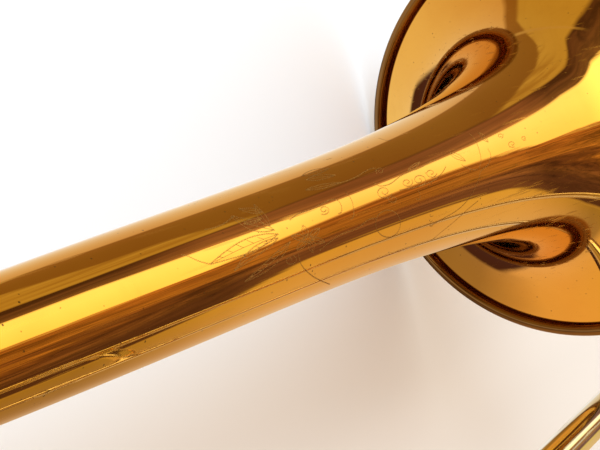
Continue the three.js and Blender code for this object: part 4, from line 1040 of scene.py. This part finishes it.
def water_key():
    p = [[LIP, 1.4], [LIP, 2.2], [LIP + 0.25, 2.45], [LIP + 1.2, 2.6], [LIP + 2.4, 2.75], [LIP + 3.5, 3.3], [LIP + 4.3, 4.1], [LIP + 5.0, 4.3], [LIP + 5.2, 1.4]]
    V, F = revolve(fillet(p, 0.15, 3), 48, "Z", (KX, 0, 0))
    mesh_object("water_key_spout", V, F, NICKEL_TURNED, "hand_slide", ["water_key_nipple"])

    # saddle: a curved foot on the ferrule and two ears
    rings = []
    for i in range(25):
        a = math.radians(-90 - 46 + 92 * i / 24)
        sec = fillet([[9.05, PX - 3.9], [10.1, PX - 3.9], [10.1, PX + 3.9], [9.05, PX + 3.9]], 0.35, 4)
        rings.append([(x, r * math.cos(a), ZB + r * math.sin(a)) for r, x in sec])
    parts = [loft(rings)]
    for y0, y1 in ((-5.4, -4.0), (4.0, 5.4)):
        outline = fillet([[PX - 3.9, ZB - 7.6], [PX + 3.9, ZB - 7.6], [PX + 2.3, PZ - 0.4], [PX + 1.5, PZ - 2.3], [PX, PZ - 2.7], [PX - 1.5, PZ - 2.3], [PX - 2.3, PZ - 0.4]], 0.7, 5)
        rings = []
        for y, k in ((y0, 0.93), (y0 + 0.22, 1.0), (y1 - 0.22, 1.0), (y1, 0.93)):
            rings.append([(PX + (x - PX) * k, y, PZ + (z - PZ) * k) for x, z in outline])
        parts.append(loft(rings))
    V, F = merged(*parts)
    mesh_object("water_key_bracket", V, F, NICKEL_TURNED, "hand_slide", ["water_key_saddle"], sharp=45)

    p = [[-6.0, 0], [-6.0, 0.9], [5.6, 0.9], [5.6, 2.1], [6.2, 2.1], [6.8, 1.75], [7.0, 1.2], [7.0, 0.0]]
    V, F = revolve(fillet(p, 0.15, 3, closed=False), 40, "Y", (PX, 0, PZ), False)
    mesh_object("water_key_pivot_screw", V, F, STEEL, "hand_slide", ["water_key_screw"])

    # lever
    barrel = revolve(fillet([[-3.7, 1.3], [3.7, 1.3], [3.7, 2.1], [-3.7, 2.1]], 0.3, 4), 40, "Y", (PX, 0, PZ))
    cup_top = LIP - 2.4
    cup = revolve(fillet([[cup_top - 2.0, 0], [cup_top - 2.0, 2.6], [cup_top - 1.6, 3.7], [cup_top - 0.8, 4.4], [cup_top + 0.9, 4.45], [cup_top + 0.9, 3.8], [cup_top - 0.4, 3.8], [cup_top - 0.4, 0]], 0.2, 4, closed=False), 56, "Z", (KX, 0, 0), False)
    y = -0.9
    arm_path = [(PX + 1.2, y, PZ - 1.25), (PX + 3, y, PZ - 1.35), (PX + 6, y, PZ - 1.3), (PX + 9, y + 0.25, PZ - 0.9 + (cup_top - 1.6 - PZ + 1) * 0.45), (PX + 11.5, y + 0.55, cup_top - 1.35), (PX + 13.5, y + 0.8, cup_top - 1.5), (KX, 0, cup_top - 1.9), (KX + 1.6, 0, cup_top - 1.95), (KX + 2.0, 0, cup_top - 1.95)]
    arm = bar(arm_path, [3.4, 3.2, 2.9, 2.8, 2.8, 2.9, 2.6, 1.6, 0.6], [1.9, 1.8, 1.6, 1.5, 1.4, 1.2, 1.0, 0.7, 0.3], (0, 0, 1), 24, 3.0)
    t = np.linspace(0, 1, 34)
    tx = PX - 1.2 - t * 36.8
    tz = PZ - 1.2 - 3.3 * np.sin(np.clip(t * 1.5, 0, 1) * math.pi / 2) + 2.3 * np.clip((t - 0.66) / 0.34, 0, 1) ** 2
    w = 3.3 - 0.5 * np.sin(np.clip(t / 0.45, 0, 1) * math.pi)
    w = w + 3.7 * np.clip((t - 0.5) / 0.16, 0, 1) ** 2 * (3 - 2 * np.clip((t - 0.5) / 0.16, 0, 1)) * np.sqrt(np.clip((1 - t) / 0.12, 0.03, 1))
    h = np.where(t < 0.5, 1.8 - 1.2 * t, 1.2) * np.sqrt(np.clip((1 - t) / 0.05, 0.1, 1))
    touch = bar(np.column_stack([tx, np.full_like(tx, y), tz]), w, h, (0, 0, 1), 28, 3.4)
    V, F = merged(barrel, cup, arm, touch)
    mesh_object("water_key_arm", V, F, NICKEL, "water_key", ["water_key_lever"], sharp=50)

    p = [[cup_top - 0.2, 0], [cup_top - 0.2, 3.5], [LIP - 0.35, 3.5], [LIP - 0.15, 3.3], [LIP - 0.15, 0]]
    V, F = revolve(fillet(p, 0.12, 3, closed=False), 40, "Z", (KX, 0, 0), False)
    mesh_object("water_key_cork_pad", V, F, CORK, "water_key", ["water_key_cork"])

    # torsion spring
    pts = [(PX - 16, 3.2, ZB - 7.95), (PX - 9, 3.2, ZB - 10.3), (PX - 4, 3.2, ZB - 10.85)]
    n = 90
    for i in range(n + 1):
        a = math.pi / 2 - (i / n) * 2.5 * 2 * math.pi
        pts.append((PX + 2.75 * math.cos(a), 3.2 - 1.7 * i / n, PZ + 2.75 * math.sin(a)))
    pts += [(PX - 4, 1.5, PZ - 2.6), (PX - 9, 1.4, PZ - 1.8), (PX - 13, 0.5, PZ - 2.1)]
    curve = bpy.data.curves.new("water_key_coil", "CURVE")
    curve.dimensions = "3D"
    sp = curve.splines.new("POLY")
    sp.points.add(len(pts) - 1)
    for q, w_ in zip(sp.points, pts):
        q.co = (w_[0] * 0.001, w_[1] * 0.001, w_[2] * 0.001, 1)
    curve.bevel_depth = 0.00028
    curve.bevel_resolution = 4
    curve.use_fill_caps = True
    curve.materials.append(STEEL)
    wire = bpy.data.objects.new("water_key_wire", curve)
    bpy.context.scene.collection.objects.link(wire)
    me = bpy.data.meshes.new_from_object(wire.evaluated_get(bpy.context.evaluated_depsgraph_get()))
    bpy.data.objects.remove(wire)
    me.name = "water_key_coil"
    if not me.materials:
        me.materials.append(STEEL)
    me.shade_smooth()
    ob = bpy.data.objects.new("water_key_coil", me)
    bpy.context.scene.collection.objects.link(ob)
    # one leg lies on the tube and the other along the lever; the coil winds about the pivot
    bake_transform(ob)
    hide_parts("water_key_spring")


water_key()

# ------------------------------------------------------------------ stage
def stage():
    scene = bpy.context.scene
    scene.view_settings.view_transform = "Standard"
    scene.view_settings.look = "None"
    scene.view_settings.exposure = 0.0
    scene.view_settings.gamma = 1.0

    me = bpy.data.meshes.new("floor")
    s = 60.0
    z = FLOOR_Z * 0.001
    me.from_pydata([(-s, -s, z), (s, -s, z), (s, s, z), (-s, s, z)], [], [(0, 1, 2, 3)])
    floor = bpy.data.objects.new("floor", me)
    mat, T, p = principled("pale_paper")
    obj = T.n("ShaderNodeTexCoord").outputs["Object"]
    g = T.noise(obj, 3.0, 3.0, 0.5)
    at = T.n("ShaderNodeSeparateXYZ", {"Vector": obj}).outputs
    # painted shadow: the floor's base colour is warm beige on the −Y side of the bell, where the instrument's shade
    # falls, blending to pale white from y 0.045 to 0.15 m; 0.42 to 0.85 m from the bell it fades to an even pale tone
    painted_shadow_tone = T.mix(T.maprange(at[1], 0.045, 0.15, 0.0, 1.0, True), (0.86, 0.765, 0.675), (0.95, 0.94, 0.93))
    away = T.math("SQRT", T.math("ADD", T.math("POWER", T.math("ABSOLUTE", T.math("ADD", at[0], 0.45)), 2.0), T.math("POWER", T.math("ABSOLUTE", T.math("SUBTRACT", at[1], 0.08)), 2.0)))
    paper = T.mix(T.maprange(away, 0.42, 0.85, 0.0, 1.0, True), painted_shadow_tone, (0.91, 0.875, 0.84))
    T.put(p, "Base Color", T.mix(T.math("MULTIPLY", g, 0.1), paper, (0.95, 0.94, 0.93)))
    p.inputs["Roughness"].default_value = 0.9
    p.inputs["Specular IOR Level"].default_value = 0.0
    me.materials.append(mat)
    scene.collection.objects.link(floor)
    floor.visible_glossy = False

    def area(name, loc, target, size, power, color):
        L = bpy.data.lights.new(name, "AREA")
        L.shape = "DISK"
        L.size = size
        L.energy = power
        L.color = color
        o = bpy.data.objects.new(name, L)
        o.location = loc
        o.rotation_mode = "QUATERNION"
        o.rotation_quaternion = (Vector(target) - Vector(loc)).to_track_quat("-Z", "Y")
        scene.collection.objects.link(o)
        o.visible_glossy = False
        o.visible_camera = False
        return o

    area("window", (-1.3, 1.75, 1.45), (-0.6, 0.1, -0.14), 1.5, 40.0, (0.52, 0.72, 0.92))

    # the room: pale for the camera, soft white for matt surfaces, and for polished metal a
    # bright window overhead, warm walls and furniture, and the white table all round below
    world = bpy.data.worlds.new("room")
    scene.world = world
    world.use_nodes = True
    T = Tree(world.node_tree)
    out = T.n("ShaderNodeOutputWorld")
    lp = T.n("ShaderNodeLightPath")
    gen = T.n("ShaderNodeTexCoord").outputs["Generated"]
    sep = T.n("ShaderNodeSeparateXYZ", {"Vector": gen})
    x, y, z = sep.outputs[0], sep.outputs[1], sep.outputs[2]
    psi = T.math("MULTIPLY", T.math("ARCTAN2", z, y), 180 / math.pi)  # -180..180, 0 is +Y and 90 is up
    ex = T.math("MULTIPLY", T.math("ARCSINE", x), 180 / math.pi)
    # the bands' edges bend with the elevation towards +X: p_ is the angle straightened out
    bend = [
        (T.maprange(ex, 30.0, 40.0, 1.0, 0.0, True), [(-25, 0), (0, 14), (14, 14), (39, 8.5), (60, 0)]),
        (T.maprange(ex, 44.0, 58.0, 0.0, 1.0), [(-60, 0), (-30, -9), (-5, -3), (30, 0), (48, -11), (62, 0)]),
        (T.piecewise(ex, [(50, 0), (54, 0.6), (57.5, 1)]), [(60, 0), (75, 10), (95, 5), (110, 0)]),
        (T.piecewise(ex, [(40, -0.55), (45, -0.38), (50, 0.05), (54, 0.8), (57.5, 1)]), [(104, 0), (125, 27), (152, 27), (180, 0)]),
    ]
    p_ = psi
    for amount, points in bend:
        p_ = T.math("ADD", p_, T.math("MULTIPLY", amount, T.piecewise(psi, points, "CARDINAL")))
    wob = T.math("MULTIPLY", T.math("SUBTRACT", T.noise(gen, 2.2, 2.0, 0.5), 0.5), 4.0)
    p_ = T.math("ADD", p_, wob)
    flat = T.n("ShaderNodeCombineXYZ", {"X": T.math("MULTIPLY", ex, 0.045), "Y": T.math("MULTIPLY", psi, 0.13), "Z": 0.0}).outputs[0]
    curl = T.math("SUBTRACT", T.noise(flat, 1.0, 3.0, 0.55, 0.9), 0.5)
    low = T.math("MULTIPLY", T.maprange(psi, 74.0, 92.0, 0.0, 1.0, True), T.maprange(psi, 140.0, 165.0, 1.0, 0.0, True))
    low = T.math("MULTIPLY", low, T.maprange(ex, 28.0, 42.0, 1.7, 1.0))
    high = T.math("MULTIPLY", T.maprange(psi, -14.0, 0.0, 0.0, 0.35, True), T.maprange(psi, 36.0, 46.0, 1.0, 0.0, True))
    high = T.math("MULTIPLY", high, T.maprange(ex, 36.0, 43.0, 0.0, 1.0, True))
    p_ = T.math("ADD", p_, T.math("MULTIPLY", curl, T.math("MULTIPLY", T.math("ADD", low, high), 17.0)))
    f = T.math("DIVIDE", T.math("ADD", p_, 180.0), 360.0)

    def at(deg):
        return (deg + 180.0) / 360.0

    def zone(v, a, b, c, d):
        return T.math("MULTIPLY", T.maprange(v, a, b, 0.0, 1.0), T.maprange(v, c, d, 1.0, 0.0))

    def scaled(colour, weight, factor):
        """colour times factor where weight is 1"""
        k = T.math("ADD", 1.0, T.math("MULTIPLY", weight, T.math("SUBTRACT", factor, 1.0)))
        return T.mix(1.0, colour, T.n("ShaderNodeCombineXYZ", {"X": k, "Y": k, "Z": k}).outputs[0], blend="MULTIPLY")

    stops = [
        # the white table, warmer towards its far edge
        (-180, (0.82, 0.53, 0.19)), (-165, (0.80, 0.52, 0.20)), (-150, (0.83, 0.53, 0.24)), (-126, (0.78, 0.52, 0.29)), (-114, (0.79, 0.53, 0.27)),
        (-104, (0.88, 0.70, 0.48)), (-92, (1.03, 1.0, 0.95)), (-78, (0.98, 0.90, 0.80)), (-66, (0.94, 0.79, 0.56)), (-42, (0.82, 0.60, 0.32)), (-29.5, (0.75, 0.51, 0.25)),
        # timber wall, then the dark window frame
        (-27.0, (0.34, 0.175, 0.045)), (-12, (0.30, 0.16, 0.035)), (26, (0.27, 0.14, 0.035)), (29.5, (0.10, 0.045, 0.025)), (37, (0.14, 0.068, 0.04)), (46.5, (0.20, 0.11, 0.06)),
        # the window
        (48.5, (1.9, 1.62, 0.88)), (60, (1.9, 1.60, 0.82)), (84.5, (1.75, 1.36, 0.56)),
        # shelves and dark furniture on the other side
        (86.5, (0.42, 0.17, 0.045)), (94, (0.38, 0.165, 0.045)), (102, (0.46, 0.22, 0.055)), (107, (0.28, 0.12, 0.045)), (112, (0.13, 0.055, 0.03)), (120, (0.20, 0.095, 0.045)),
        (127, (0.11, 0.05, 0.032)), (152, (0.11, 0.05, 0.03)), (156, (0.83, 0.55, 0.13)), (180, (0.82, 0.53, 0.19)),
    ]
    glossy = T.ramp(f, [(at(d), c) for d, c in stops])
    # fine wavy streaks along X
    sv = T.n("ShaderNodeCombineXYZ", {"X": T.math("MULTIPLY", ex, 0.075), "Y": T.math("MULTIPLY", p_, 0.40), "Z": 0.0}).outputs[0]
    streak = T.noise(sv, 1.0, 5.0, 0.62, 1.3)
    sheen = T.n("ShaderNodeCombineXYZ", {"X": T.math("MULTIPLY", ex, 0.06), "Y": T.math("MULTIPLY", p_, 0.17), "Z": 4.0}).outputs[0]
    wisps = T.noise(sheen, 1.0, 4.0, 0.6, 0.8)
    # a gilt panel of the wall
    start = T.piecewise(ex, [(30, -20), (38, -11), (40, -2), (45, 9), (50, 16), (54, 29)], "CARDINAL")
    gilt = T.math("MULTIPLY", T.maprange(T.math("SUBTRACT", p_, start), -2.0, 2.5, 0.0, 1.0, True), T.maprange(p_, 26.5, 29.5, 1.0, 0.0))
    panel = T.mix(T.math("MULTIPLY", T.maprange(wisps, 0.38, 0.64, 0.0, 1.0, True), T.maprange(ex, 37.0, 43.0, 0.12, 1.0)), (0.60, 0.42, 0.11), (0.44, 0.27, 0.06))
    glossy = T.mix(gilt, glossy, panel)
    glossy = scaled(glossy, zone(p_, 28.5, 31.0, 46.8, 47.2), T.math("MULTIPLY", T.maprange(ex, 46.0, 50.5, 1.0, 2.3), T.maprange(wisps, 0.4, 0.6, 0.7, 1.3)))
    glossy = scaled(glossy, zone(p_, 106.0, 112.0, 151.0, 154.0), T.maprange(ex, 50.0, 54.0, 1.0, 1.9))
    glossy = scaled(glossy, zone(p_, 47.0, 48.5, 84.5, 86.0), T.piecewise(ex, [(32, 1.35), (40, 1.0), (50, 1.0), (56, 0.86)]))
    glossy = scaled(glossy, zone(p_, 85.5, 87.5, 122.0, 150.0), T.maprange(streak, 0.34, 0.66, 0.25, 1.75))
    # a thin rail across the wall
    rail = T.math("ABSOLUTE", T.math("SUBTRACT", ex, T.math("SUBTRACT", 30.0, T.math("MULTIPLY", psi, 0.44))))
    rail = T.math("MULTIPLY", T.maprange(rail, 0.5, 1.1, 0.85, 0.0), zone(psi, -31.0, -28.0, 12.0, 24.0))
    glossy = T.mix(rail, glossy, (0.60, 0.42, 0.16))
    # the table is in the shade behind the instrument and, darkest, under the flare
    shade = T.piecewise(ex, [(28, 1.14), (34, 1.0), (38, 0.52), (43, 0.5), (46, 0.6), (50, 0.82), (54, 1.0)])
    glossy = scaled(glossy, T.maprange(p_, 153.0, 157.0, 0.0, 1.0), shade)
    glossy = scaled(glossy, T.piecewise(psi, [(-180, 1.0), (-150, 0.95), (-130, 0.5), (-112, 0.35), (-100, 0.0)]), shade)
    side = T.piecewise(psi, [(-142, 1.0), (-136, 0.85), (-124, 0.5), (-112, 0.45), (-100, 1.0)])
    glossy = scaled(glossy, T.maprange(ex, 4.0, 12.0, 1.0, 0.0), side)
    again = T.maprange(lp.outputs["Glossy Depth"], 1.2, 1.8, 0.0, 1.0)
    spread = T.mix(again, T.math("ADD", T.math("MULTIPLY", ex, 0.33), 27.5), 42.0, kind="FLOAT")
    off = T.math("SUBTRACT", T.math("ABSOLUTE", T.math("ADD", psi, 101.0)), spread)
    under = T.math("MULTIPLY", T.maprange(off, -2.5, 2.5, 1.0, 0.0, True), T.maprange(ex, 1.0, 7.0, 0.0, 1.0, True))
    far = T.piecewise(psi, [(-112, 35.0), (-92, 41.0)])
    under = T.math("MULTIPLY", under, T.maprange(T.math("SUBTRACT", ex, far), -1.5, 1.5, 1.0, 0.0, True))
    glossy = T.mix(under, glossy, (0.075, 0.030, 0.028))
    camera_col = (0.93, 0.925, 0.915, 1)
    diffuse_col = (1.06, 0.99, 0.915, 1)
    c = T.mix(lp.outputs["Is Glossy Ray"], diffuse_col, glossy)
    c = T.mix(lp.outputs["Is Camera Ray"], c, camera_col)
    bg = T.n("ShaderNodeBackground", {"Color": c, "Strength": 1.0})
    T.t.links.new(bg.outputs[0], out.inputs[0])

    cam = bpy.data.cameras.new("camera")
    cam.sensor_width = 36.0
    cam.lens = 78.0
    cam.clip_start, cam.clip_end = 0.01, 200.0
    co = bpy.data.objects.new("camera", cam)
    right = Vector((0.50762, -0.24124, 0.82711))
    down = Vector((-0.19106, -0.96762, -0.16494))
    fwd = Vector((0.84013, -0.0743, -0.53728))
    m = Matrix.Identity(4)
    for i in range(3):
        m[i][0], m[i][1], m[i][2] = right[i], -down[i], -fwd[i]
    m[0][3], m[1][3], m[2][3] = -1.09649, 0.16293, 0.18005
    co.matrix_world = m
    scene.collection.objects.link(co)
    scene.camera = co


stage()
